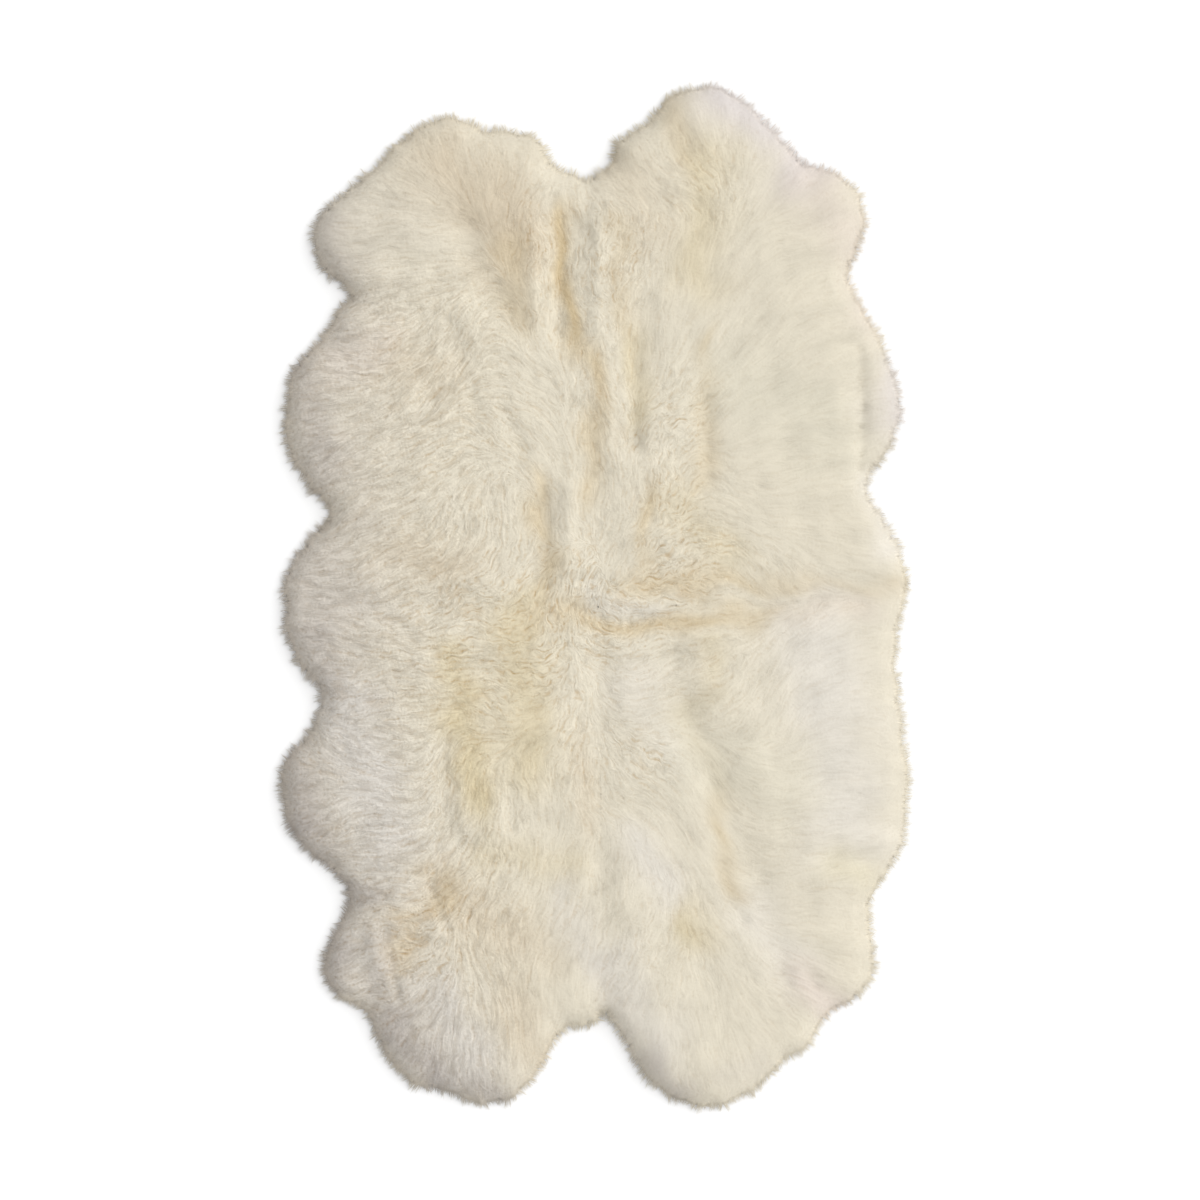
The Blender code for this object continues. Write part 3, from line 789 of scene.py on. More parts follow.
@dataclass(frozen=True)
class WoolFinish:
    """Soft, matt, combed wool: the tint of its place, fine fibres along it, darker roots, and painted shade
    in the dips of its locks and fibres.

    Attributes:
        root_and_shade_loss: How much of red, green and blue the wool's colour loses at its roots and in the
            partings, where that warmer darkening is partly painted shade.
        fibre_shade: How far apart the palest and the darkest fibres are, partly their own tone and partly
            painted shade that follows their relief.
        fibre_bump: The relief of the fibres on a strand.
        fibre_stretch: Fibres across a strand's side, along a centimetre of it, and the map's third axis.
        locks: The undercoat's locks: lines for each metre, the share of a step between reads, and reads.
        fine: Its fine fibres, in the same terms.
        lock_shade: How far apart the palest and the darkest locks are, as painted shade in their dips and
            painted light on their crests.
        lock_bump: The relief of the locks.
        fine_relief: The fine fibres' share of that relief.
        swells: Swells for each metre in the waves that bend the locks.
        parting_and_shade_from: The level of the locks under which a parting, partly painted shade, starts.
        parting_and_shade_share: How fast the roots' colour, partly painted shade, shows below it.
    """

    roughness: float = 0.95
    sheen: float = 0.25
    sheen_roughness: float = 0.5
    specular: float = 0.15
    root_and_shade_loss: Colour = (0.14, 0.27, 0.43)
    fibre_shade: float = 0.12
    fibre_bump: float = 0.4 * MM
    fibre_stretch: tuple[float, float, float] = (6.0, 0.7, 1.0)
    locks: tuple[float, float, int] = (200.0, 0.8, 13)
    fine: tuple[float, float, int] = (480.0, 0.3, 7)
    lock_shade: float = 0.15
    lock_bump: float = 1 * MM
    fine_relief: float = 0.3
    swells: float = 55.0
    parting_and_shade_from: float = 0.42
    parting_and_shade_share: float = 1.4

    def strands(self) -> bpy.types.Material:
        """Wool on strands, whose Fibre map runs across (x) and along (y) each strand.

        Returns:
            The material.
        """
        shader = Shader("combed_wool")
        values = {"Vector": shader.uv("Fibre"), "Scale": self.fibre_stretch}
        fibres = shader.noise(shader.node("ShaderNodeMapping", {}, values), scale=1.0, roughness=0.6)
        # Fibres darker where their bump dips and paler on its crests, partly their own tone and partly
        # painted shade.
        light = 1 + (fibres - 0.5) * self.fibre_shade
        return shader.finish(
            Base_Color=shader.scaled(shader.attribute("tint"), light),
            Normal=shader.bump(fibres, self.fibre_bump, 0.7),
            **self._lasting(),
        )

    def undercoat(self) -> bpy.types.Material:
        """The body of the coat, whose fine fibres follow the lay stored in its mesh.

        Returns:
            The material.
        """
        shader = Shader("undercoat_wool")
        place, lay = shader.place(), shader.attribute("lay", "Vector")
        grain = shader.attribute("grain", "Fac")
        bent = shader.bent(place, shader.attribute("bend", "Fac"), self.swells)
        locks = shader.fibres(bent, lay, *self.locks)
        fine = shader.fibres(bent, lay, *self.fine)
        # Partings: drawn to the roots' warmer colour where the locks dip, partly painted shade.
        parting_and_shade = shader.clamped(self.parting_and_shade_from - locks)
        parting_and_shade = parting_and_shade * shader.attribute("parting_and_shade", "Fac") * self.parting_and_shade_share
        tinted = shader.dulled(shader.attribute("tint"), self.root_and_shade_loss, parting_and_shade)
        # Painted shade in the dips of the locks and fibres and painted light on their crests, partly their
        # own tone.
        shade = (fine - 0.5) * self.fibre_shade + (locks - 0.5) * self.lock_shade
        return shader.finish(
            Base_Color=shader.scaled(tinted, 1 + shade * grain),
            Normal=shader.bump((fine * self.fine_relief + locks) * grain, self.lock_bump, 0.8),
            **self._lasting(),
        )

    def _lasting(self) -> dict[str, object]:
        """The inputs that are the same all over the wool."""
        return {
            "Roughness": self.roughness,
            "Specular_IOR_Level": self.specular,
            "Sheen_Weight": self.sheen,
            "Sheen_Roughness": self.sheen_roughness,
        }


@dataclass(frozen=True)
class SuedeFinish:
    """Tanned suede: a short nap over faint creases and blotches.

    Attributes:
        pale: The colour where the tan took least.
        tanned: The colour where it took most.
        nap: Naps for each metre.
        blotches: Blotches for each metre.
        creases: Creases for each metre.
        blotch_share: How strongly the blotches show in the colour.
        nap_share: How strongly the nap shows in the colour.
        nap_relief: The nap's share of the relief.
        relief: The height of the creases and the nap.
    """

    pale: Colour = linear(214, 196, 164)
    tanned: Colour = linear(184, 158, 120)
    roughness: float = 0.9
    specular: float = 0.2
    sheen: float = 0.2
    nap: float = 1400.0
    blotches: float = 14.0
    creases: float = 60.0
    blotch_share: float = 1.6
    nap_share: float = 0.5
    nap_relief: float = 0.4
    relief: float = 0.8 * MM

    def material(self) -> bpy.types.Material:
        """The suede's nodes.

        Returns:
            The material.
        """
        shader = Shader("tanned_suede")
        nap = shader.noise(shader.place(), self.nap, 2.0, 0.6)
        blotches = shader.noise(shader.place(), self.blotches, 4.0, 0.55)
        creases = shader.noise(shader.place(), self.creases, 3.0, 0.6)
        share = (blotches - 0.5) * self.blotch_share + (nap - 0.5) * self.nap_share + 0.5
        return shader.finish(
            Base_Color=shader.mix(share, self.pale, self.tanned),
            Roughness=self.roughness,
            Specular_IOR_Level=self.specular,
            Sheen_Weight=self.sheen,
            Normal=shader.bump(nap * self.nap_relief + creases, self.relief, 0.6),
        )


@dataclass(frozen=True)
class ThreadFinish:
    """Spun sewing thread, paler than the suede.

    Attributes:
        pale: The colour on top of a twist.
        shaded: The colour between two twists.
        twist: Twists for each metre.
        relief: Their height.
    """

    pale: Colour = linear(232, 222, 200)
    shaded: Colour = linear(206, 190, 160)
    roughness: float = 0.7
    twist: float = 1800.0
    relief: float = 0.2 * MM

    def material(self) -> bpy.types.Material:
        """The thread's nodes.

        Returns:
            The material.
        """
        shader = Shader("sewing_thread")
        twist = shader.noise(shader.place(), self.twist, 2.0, 0.6)
        return shader.finish(
            Base_Color=shader.mix(twist, self.pale, self.shaded),
            Roughness=self.roughness,
            Normal=shader.bump(twist, self.relief, 0.5),
        )


@dataclass(frozen=True)
class FloorFinish:
    """The plain white floor."""

    colour: Colour = (0.93, 0.93, 0.93)
    roughness: float = 0.9

    def material(self) -> bpy.types.Material:
        """The floor's nodes.

        Returns:
            The material.
        """
        return Shader("white_floor").finish(Base_Color=(*self.colour, 1.0), Roughness=self.roughness)


@dataclass
class CoatMap:
    """The relief and the extent of the coat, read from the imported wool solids.

    Attributes:
        step: The distance between the points at which the solids are read.
        margin: How far the grid runs past the solids.
        drop_from: The height from which the grid is dropped onto them.
        soften: The blur that rounds the solids' facets and rims.
        deep: The depth of wool from which a crease has its full height.
        nearest: How far from a pelt's middle its edge is looked for at least.
        farthest: How far from it at most.
    """

    step: float = 4 * MM
    margin: float = 60 * MM
    drop_from: float = 200 * MM
    soften: float = 5 * MM
    deep: float = 30 * MM
    nearest: float = 50 * MM
    farthest: float = 750 * MM
    heights: Raster = field(init=False)
    cover: Raster = field(init=False)
    pelts: dict[Quarter, Raster] = field(init=False)
    slope: Raster = field(init=False)

    def __post_init__(self) -> None:
        """Reads the four wool solids."""
        low, high = CAD_BOX
        start = (low.x - self.margin, low.y - self.margin)
        columns = int((high.x - low.x + 2 * self.margin) / self.step) + 1
        rows = int((high.y - low.y + 2 * self.margin) / self.step) + 1
        blank = Raster(start, self.step, np.zeros((rows, columns)))
        tops = {quarter: self._drop(blank, f"wool_{quarter.label}") for quarter in Quarter}
        highest = blank.like(np.max([top.values for top in tops.values()], axis=0)).closed()
        self.cover = blank.like((highest.values > 0).astype(float)).blurred(self.soften)
        self.heights = self._creased(highest.blurred(self.soften))
        shares = {
            quarter: blank.like((top.values > 0).astype(float)).blurred(self.soften).values
            for quarter, top in tops.items()
        }
        self.pelts = {
            quarter: blank.like(self._own(share, [other for other in shares.values() if other is not share]))
            for quarter, share in shares.items()
        }
        self.slope = self.heights.slope()

    def _own(self, share: Array, others: Sequence[Array]) -> Array:
        """How far a place is a pelt's: its share over that and the largest other's, or the cover if less."""
        return np.minimum(share / np.maximum(share + np.max(others, axis=0), 1e-6), self.cover.values)

    def _creased(self, heights: Raster) -> Raster:
        """Adds the creases, each by its height where it counts in full, and less towards the rim.

        Args:
            heights: The coat without them.

        Returns:
            The coat with them.
        """
        places = heights.points()
        added = np.zeros(places.shape[:2])
        for crease in CREASES:
            added += crease.height_mm * MM * fading(places, crease)
        return heights.like(heights.values + added * np.clip(heights.values / self.deep, 0, 1))

    def _drop(self, blank: Raster, node: str) -> Raster:
        """Drops the grid's points straight down onto a solid.

        Args:
            blank: The grid.
            node: The solid's name.

        Returns:
            The height at which each point lands, and 0 where it meets nothing.
        """
        flat = blank.points().reshape(-1, 2)
        start = np.column_stack([flat, np.full(len(flat), self.drop_from)])
        probe = mesh_object("probe", start, np.empty((0, 3), int))
        wrap = probe.modifiers.new("drop", "SHRINKWRAP")
        wrap.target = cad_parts[node]
        wrap.wrap_method = "PROJECT"
        wrap.use_project_z = True
        wrap.use_negative_direction = True
        wrap.use_positive_direction = False
        landed = probe.evaluated_get(bpy.context.evaluated_depsgraph_get()).data
        found = np.empty(len(flat) * 3, np.float32)
        landed.vertices.foreach_get("co", found)
        mesh = probe.data
        bpy.data.objects.remove(probe)
        bpy.data.meshes.remove(mesh)
        height = found.reshape(-1, 3)[:, 2].astype(float)
        height[height > self.drop_from - 1e-6] = 0
        return blank.like(height.reshape(blank.values.shape))

    def outline(self, quarter: Quarter, rays: int, level: float = 0.5) -> Array:
        """The edge of a pelt's coat, found along rays from the pelt's middle.

        Args:
            quarter: The pelt.
            rays: How many points the outline has.
            level: The share of cover that counts as the edge.

        Returns:
            The outline's points, anticlockwise.
        """
        turns = 2 * math.pi * np.arange(rays) / rays
        directions = np.stack([np.cos(turns), np.sin(turns)], axis=-1)
        reach = np.arange(self.nearest, self.farthest, self.step / 2)
        cover = self.pelts[quarter].at(quarter.middle + directions[:, None] * reach[:, None])
        last = cover.shape[1] - 1 - np.argmax(cover[:, ::-1] > level, axis=1)
        inner, outer = cover[np.arange(rays), last], cover[np.arange(rays), last + 1]
        edge = reach[last] + (inner - level) / (inner - outer) * self.step / 2
        return quarter.middle + directions * edge[:, None]


@dataclass
class Comb:
    """The direction in which the wool lies, and how curly it is, from the strokes of the comb.

    Attributes:
        width: How far to its side a stroke still counts.
        way_out: How much the way straight out from the rug's middle counts against a stroke.
        loose_curl: How curly the wool is where no stroke counts.
        stray: How far the coat turns from the strokes at random, in radians.
        stray_size: The size of those turns on the rug.
        crimp: How far the fine waves turn the streaks, in radians.
        crimp_curl: How much further they do in the curliest wool.
        crimp_size: The size of those waves.
        curl_share: How far curls bring the locks back in sleek wool.
        sleek: How far the locks still show in the sleekest wool.
        parted_and_shaded: How far the roots' colour, partly painted shade, still shows between straight
            locks.
        sleek_from: The stretch along X over which the wool gets sleek, towards the right.
        neck_from: The stretch along Y over which the left neck's wool gets sleeker, towards its end.
        neck_sleek: How much of its locks the left neck loses.
    """

    coat: CoatMap
    width: float = 34 * MM
    way_out: float = 1e-4
    loose_curl: float = 0.3
    stray: float = 0.12
    stray_size: float = 22 * MM
    crimp: float = 0.30
    crimp_curl: float = 0.6
    crimp_size: float = 5 * MM
    curl_share: float = 0.8
    sleek: float = 0.22
    parted_and_shaded: float = 0.3
    sleek_from: tuple[float, float] = (-330 * MM, 60 * MM)
    neck_from: tuple[float, float] = (500 * MM, 640 * MM)
    neck_sleek: float = 0.6
    heading: Raster = field(init=False)
    curl: Raster = field(init=False)
    grain: Raster = field(init=False)
    parting_and_shade: Raster = field(init=False)

    def __post_init__(self) -> None:
        """Weighs every stroke at every point: exp(-(distance / width)^2 / 2), plus a faint way out."""
        grid = self.coat.heights
        places = grid.points()
        strokes = np.array(SWEEPS)
        starts, ends, curls = strokes[:, 0:2] * MM, strokes[:, 2:4] * MM, strokes[:, 4]
        weight = np.full(places.shape[:2], self.way_out)
        flow = unit(places) * weight[..., None]
        curl = weight * self.loose_curl
        for start, end, curly in zip(starts, ends, curls):
            counts = np.exp(-0.5 * (distance(places, start, end) / self.width) ** 2)
            weight += counts
            flow += counts[..., None] * unit(end - start)
            curl += counts * curly
        curl = curl / weight
        turn = self.stray * grid.noise(Seed.STRAY, self.stray_size).values * (0.6 + 2.2 * curl)
        self.heading = grid.like(unit(turned(flow, turn)))
        self.curl = grid.like(curl)
        locked = 1 - ramp(places[..., 0], *self.sleek_from)
        locked = locked * (1 - self.neck_sleek * ramp(places[..., 1], *self.neck_from))
        grain = self.sleek + (1 - self.sleek) * np.maximum(locked, self.curl_share * curl)
        self.grain = grid.like(grain)
        self.parting_and_shade = grid.like(grain * np.minimum(self.parted_and_shaded + curl, 1))

    @staticmethod
    def smeared(field_values: Raster, lay: Raster, reach: float) -> Array:
        """Smears values along a field of directions: each point takes the mean over its own line of flow.

        Args:
            field_values: What is smeared.
            lay: The directions, on any grid.
            reach: How far the lines run each way, walked in steps of the values' own grid.

        Returns:
            The smeared values.
        """
        total = field_values.values.copy()
        steps = int(reach / field_values.step)
        for way in (field_values.step, -field_values.step):
            places = field_values.points()
            for _ in range(steps):
                places = places + way * lay.at(places)
                total += field_values.at(places)
        return total / (2 * steps + 1)

    def streaks(self, seed: int, grain: float, reach: float, step: float) -> Raster:
        """Noise smeared along the wool, whose heading is turned by fine waves.

        Args:
            seed: The start of the random numbers.
            grain: The width of the streaks.
            reach: How far the lines run each way.
            step: The distance between the points of the result.

        Returns:
            The streaks, with a mean of 0 and a deviation of 1.
        """
        fine = self.heading.finer(step)
        places = fine.points()
        swing = self.crimp + self.crimp_curl * self.curl.at(places)
        wave = fine.noise(seed + 1, self.crimp_size).values * swing
        lay = fine.like(unit(turned(self.heading.at(places), wave)))
        smeared = self.smeared(fine.noise(seed, grain, even=True), lay, reach)
        return fine.like((smeared - smeared.mean()) / smeared.std())


@dataclass
class Dye:
    """The wool's tint at each place: cream, with soft patches of other tints and of painted shade, broad,
    faint bands, and painted shade over the whole coat and towards the free edge.

    Attributes:
        wander: How far the patches' edges wander.
        wander_size: The size of those turns.
        drawn: How far each way the tints are drawn out along the wool.
        bands: How much darker or paler one deviation of the bands is.
        band_size: The bands' width.
        band_reach: How far each way a band runs along the wool.
        kept_under_painted_shade: The share of its tint that the wool keeps under painted shade over the whole
            coat, for the light lost between its fibres.
        edge_shade: How much painted shade darkens the wool towards the free edge and past it.
        edge_size: How far inside the edge that starts.
    """

    coat: CoatMap
    comb: Comb
    wander: float = 9 * MM
    wander_size: float = 18 * MM
    drawn: float = 20 * MM
    bands: float = 0.018
    band_size: float = 12 * MM
    band_reach: float = 60 * MM
    kept_under_painted_shade: float = 0.874
    edge_shade: float = 0.2
    edge_size: float = 15 * MM
    tints: Raster = field(init=False)

    def __post_init__(self) -> None:
        """Lays the patches over cream, each by its strength where it counts in full, and adds the bands and
        the painted shade over the whole coat and towards the free edge.
        """
        grid = self.coat.heights
        seeds = (Seed.SWAY_ACROSS, Seed.SWAY_ALONG)
        sway = [grid.noise(seed, self.wander_size).values for seed in seeds]
        places = grid.points() + self.wander * np.stack(sway, axis=-1)
        colours = np.broadcast_to(Tint.CREAM.linear, (*places.shape[:2], 3)).copy()
        for patch in PATCHES:
            share = patch.strength * fading(places, patch)[..., None]
            colours = colours * (1 - share) + patch.tint.linear * share
        drawn = self.comb.smeared(grid.like(colours), self.comb.heading, self.drawn)
        bands = self.comb.streaks(Seed.BANDS, self.band_size, self.band_reach, grid.step)
        # Painted shade over the whole coat, for the light lost between its fibres, together with the bands.
        banded_and_shaded = self.kept_under_painted_shade * (1 + self.bands * bands.at(grid.points()))
        # Painted shade towards the free edge and past it.
        painted_edge_shade = 1 - self.edge_shade * (1 - self.coat.cover.blurred(self.edge_size).at(grid.points()))
        self.tints = grid.like(drawn * (banded_and_shaded * painted_edge_shade)[..., None])


@dataclass
class StrandForm:
    """The shape of one strand of wool: a closed three-sided tube, flat below and drawn to a point.

    Attributes:
        segments: Lengths between the rings, the last of which is the point.
        thickness: The height of a strand as a share of its width.
        root_width: The width at the root as a share of the full width.
        taper: The power of the run of the width to the point.
        level_normals: How far the shading leans from the strand's own form to the coat's.
    """

    segments: int = 4
    thickness: float = 0.35
    root_width: float = 0.5
    taper: float = 2.2
    level_normals: float = 0.97

    def reach(self) -> Array:
        """The share of the strand's length at each ring, the point among them."""
        return np.arange(self.segments + 1) / self.segments

    def point_reach(self) -> Array:
        """The share of the strand's length at each of its points."""
        return np.append(np.repeat(self.reach()[:-1], 3), 1.0)

    def widths(self) -> Array:
        """The width at each ring: min(1, root + 1.8 reach) times (1 - reach ^ taper)."""
        reach = self.reach()
        return np.minimum(1, self.root_width + 1.8 * reach) * (1 - reach ** self.taper)

    def faces(self) -> Array:
        """The corners of one strand's triangles, the root's cap last."""
        rings = 3 * np.arange(self.segments - 1)
        sides = np.array([(0, 1), (1, 2), (2, 0)])
        lower = rings[:, None, None] + sides
        upper = lower + 3
        first = np.stack([lower[..., 0], lower[..., 1], upper[..., 1]], axis=-1).reshape(-1, 3)
        second = np.stack([lower[..., 0], upper[..., 1], upper[..., 0]], axis=-1).reshape(-1, 3)
        last, tip = 3 * (self.segments - 1), 3 * self.segments
        point = np.column_stack([last + sides, np.full(3, tip)])
        return np.concatenate([first, second, point, [[2, 1, 0]]])

    def build(self, name: str, paths: Array, normals: Array, width: Array) -> bpy.types.Object:
        """Sweeps the section along every path and joins the strands in one mesh.

        At each ring the side vector is the normal crossed with the path's run, and the section's corners
        are at minus the side, at the top and at plus the side. The two upper sides are shaded by the coat's
        direction, and the flat lower side by its own.

        Args:
            name: The piece's name.
            paths: The rings' middles, strands by rings by three.
            normals: The coat's upward direction at each ring.
            width: Each strand's full width.

        Returns:
            The piece, with its Fibre and OFBake maps.
        """
        count = len(paths)
        run = unit(np.gradient(paths, axis=1))
        side = unit(np.cross(run, normals))
        top = np.cross(side, run)
        half = width[:, None, None] * self.widths()[None, :, None] / 2
        left, right = paths - side * half, paths + side * half
        crest = paths + top * half * 2 * self.thickness
        body = np.stack([left, crest, right], axis=2)[:, :-1].reshape(count, -1, 3)
        vertices = np.concatenate([body, paths[:, -1:]], axis=1)
        template = self.faces()
        faces = template[None] + vertices.shape[1] * np.arange(count)[:, None, None]
        piece = mesh_object(name, vertices.reshape(-1, 3), faces.reshape(-1, 3))

        own = np.stack([-side, top, side], axis=2)[:, :-1].reshape(count, -1, 3)
        own = np.concatenate([own, top[:, -1:]], axis=1)
        coat = np.concatenate([np.repeat(normals[:, :-1], 3, axis=1), normals[:, -1:]], axis=1)
        shown = unit(own * (1 - self.level_normals) + coat * self.level_normals)
        under = -np.concatenate([np.repeat(top[:, :-1], 3, axis=1), top[:, -1:]], axis=1)
        below = np.append(np.arange(len(template) - 1) % 3 == 2, False)
        corners = np.where(below[:, None, None], under[:, template], shown[:, template])
        piece.data.normals_split_custom_set(corners.reshape(-1, 3))

        self._map(piece, template, np.linalg.norm(np.diff(paths, axis=1), axis=-1).sum(axis=1))
        return piece

    def _map(self, piece: bpy.types.Object, template: Array, length: Array) -> None:
        """Lays out the two UV maps.

        Fibre has a strand's sides at x 0 to 1.5 and its length in centimetres as y, shifted by the strand's
        number. OFBake gives every strand a cell of its own, with its three sides next to each other.

        Args:
            piece: The strands' piece.
            template: One strand's faces.
            length: The strands' lengths.
        """
        count = len(length)
        corner_reach = self.point_reach()[template]
        sides = self.segments - 1
        strip = np.append(np.tile(np.arange(3), 2 * sides + 1), 0)
        across = np.zeros(template.shape)
        across[: 3 * sides] = [0, 1, 1]
        across[3 * sides: 6 * sides] = [0, 1, 0]
        across[6 * sides: 6 * sides + 3] = [0, 1, 0.5]
        number = np.arange(count)[:, None, None]
        fibre = np.empty((count, *template.shape, 2))
        fibre[..., 0] = (strip[:, None] + across) / 2 + number * 3.7
        fibre[..., 1] = corner_reach * length[:, None, None] * 100 + number * 1.3
        give_uv(piece, "Fibre", fibre.reshape(-1, 2))

        columns = math.ceil(math.sqrt(count * 2.2))
        rows = math.ceil(count / columns)
        inner = np.empty((*template.shape, 2))
        inner[..., 0] = 0.05 + (strip[:, None] + 0.08 + 0.84 * across) * 0.3
        inner[..., 1] = 0.14 + corner_reach * 0.82
        inner[-1] = [(0.1, 0.03), (0.9, 0.03), (0.5, 0.1)]
        cell = np.stack([number % columns, number // columns], axis=-1)
        give_uv(piece, "OFBake", ((inner + cell) / np.array([columns, rows])).reshape(-1, 2))


@dataclass
class Wool:
    """What every layer of the coat shares: the relief, the comb, the dye and the finish.

    Attributes:
        broad: The width of the broad streaks, how far each way they run, and the step of their grid.
        fine: The same of the fine streaks.
        broad_share: How much the broad streaks count.
        fine_share: How much the fine ones count.
        highest: The highest and deepest streak, in deviations.
        sink: How far the coat's body lies under the solids' top.
        relief: The height that one deviation of the streaks is raised.
        lean: How far the shading follows the coat's slopes, because the fibres on them lie flatter.
        shade: How much darker or paler one deviation of the streaks is, as painted shade in their dips and
            painted light on their crests.
        parting_and_shade: How far one deviation draws the partings to the roots' colour, partly painted
            shade.
        root_share: How far the strands are drawn to it at their roots.
        strand_shade: How far apart the palest and the darkest strands are.
        palest: The most light that a strand's tint may give back.
    """

    coat: CoatMap
    comb: Comb
    dye: Dye
    finish: WoolFinish
    broad: tuple[float, float, float] = (4.0 * MM, 40 * MM, 2.5 * MM)
    fine: tuple[float, float, float] = (2.4 * MM, 24 * MM, 2.0 * MM)
    broad_share: float = 0.6
    fine_share: float = 0.8
    highest: float = 2.2
    sink: float = 1.0 * MM
    relief: float = 0.4 * MM
    lean: float = 0.6
    shade: float = 0.025
    parting_and_shade: float = 0.45
    root_share: float = 0.3
    strand_shade: float = 0.10
    palest: float = 0.97
    streaks: Raster = field(init=False)
    strand_material: bpy.types.Material = field(init=False)
    undercoat_material: bpy.types.Material = field(init=False)

    def __post_init__(self) -> None:
        """Makes the streaks of the coat's body, broad ones and fine ones, and the two materials."""
        broad = self.comb.streaks(Seed.BROAD_STREAKS, *self.broad)
        fine = self.comb.streaks(Seed.FINE_STREAKS, *self.fine)
        mixed = self.broad_share * broad.at(fine.points()) + self.fine_share * fine.values
        mixed = np.clip(mixed, -self.highest, self.highest)
        self.streaks = fine.like(mixed * self.comb.grain.at(fine.points()))
        self.strand_material = self.finish.strands()
        self.undercoat_material = self.finish.undercoat()

    def top(self, places: Array) -> Array:
        """The height of the coat's body: the solids' less the sink, plus the streaks' relief.

        Args:
            places: Points on the coat.

        Returns:
            One height for each place.
        """
        heights = self.coat.heights.at(places)
        raised = self.relief * self.streaks.at(places) * np.clip(heights / (25 * MM), 0.2, 1)
        return heights - self.sink + raised

    def top_normals(self, places: Array) -> Array:
        """The coat's upward direction, from its heights a step to each side, with part of its slope."""
        step = self.streaks.step
        right, up = np.array([step, 0]), np.array([0, step])
        flat = places[..., :2]
        across = (self.top(flat + right) - self.top(flat - right)) / (2 * step)
        along = (self.top(flat + up) - self.top(flat - up)) / (2 * step)
        slope = np.stack([across, along], axis=-1) - (1 - self.lean) * self.coat.slope.at(flat)
        return unit(np.concatenate([-slope, np.ones((*across.shape, 1))], axis=-1))

    def tint(self, places: Array, share: float) -> Array:
        """The wool's colour: the dye's, paler on the streaks as painted light, and drawn between them to the
        roots' colour, partly as painted shade.

        Args:
            places: Points on the coat.
            share: How much of the streaks shows.

        Returns:
            One linear colour for each place.
        """
        raised = self.streaks.at(places)[:, None] * share
        # Partings: drawn to the roots' warmer colour in the streaks' dips, partly painted shade.
        depth = np.clip(-self.parting_and_shade * (raised + 0.5), 0, 0.4) * self.comb.parting_and_shade.at(places)[:, None]
        tint = self.dye.tints.at(places) * (1 - depth * np.array(self.finish.root_and_shade_loss))
        # Painted shade in the streaks' dips and painted light on their raised crests.
        return tint * (1 + self.shade * raised)

    def dye_strands(
        self, piece: bpy.types.Object, form: StrandForm, rng: np.random.Generator, tip_painted_light: float = 0.0
    ) -> None:
        """Gives strands the coat's tint, each a little paler or darker, the roots' colour at their roots, and
        any painted light towards their points.

        Args:
            piece: The strands' piece.
            form: The strands' form.
            rng: The random numbers.
            tip_painted_light: How much paler than the coat the strands get towards their points, as painted
                light.
        """
        places = mesh_points(piece)
        reach = form.point_reach()
        count = len(places) // len(reach)
        grain = self.comb.grain.at(places)[:, None]
        depth = self.root_share * np.tile(1 - reach, count)[:, None] * grain
        lot = 1 + self.strand_shade * (np.repeat(rng.random(count), len(reach))[:, None] - 0.5) * grain
        tint = self.tint(places, 0.4) * (1 - depth * np.array(self.finish.root_and_shade_loss))
        # Painted light: the strands grow paler towards their points, for light coming through them.
        painted_tip_light = 1 + tip_painted_light * ramp(np.tile(reach, count)[:, None], 0.1, 0.65)
        give(piece, "tint", Layer.COLOUR, np.minimum(tint * lot * painted_tip_light, self.palest))

    def dress(self, piece: bpy.types.Object, quarter: Quarter, material: bpy.types.Material) -> None:
        """Gives a piece of wool its material, ties it to the rug's body and hides its pelt's solid.

        Args:
            piece: The piece.
            quarter: The pelt that it grows on.
            material: Its material.
        """
        piece.data.materials.append(material)
        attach(piece, BODY)
        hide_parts(f"wool_{quarter.label}")
        log.info("%s: %d faces", piece.name, len(piece.data.polygons))


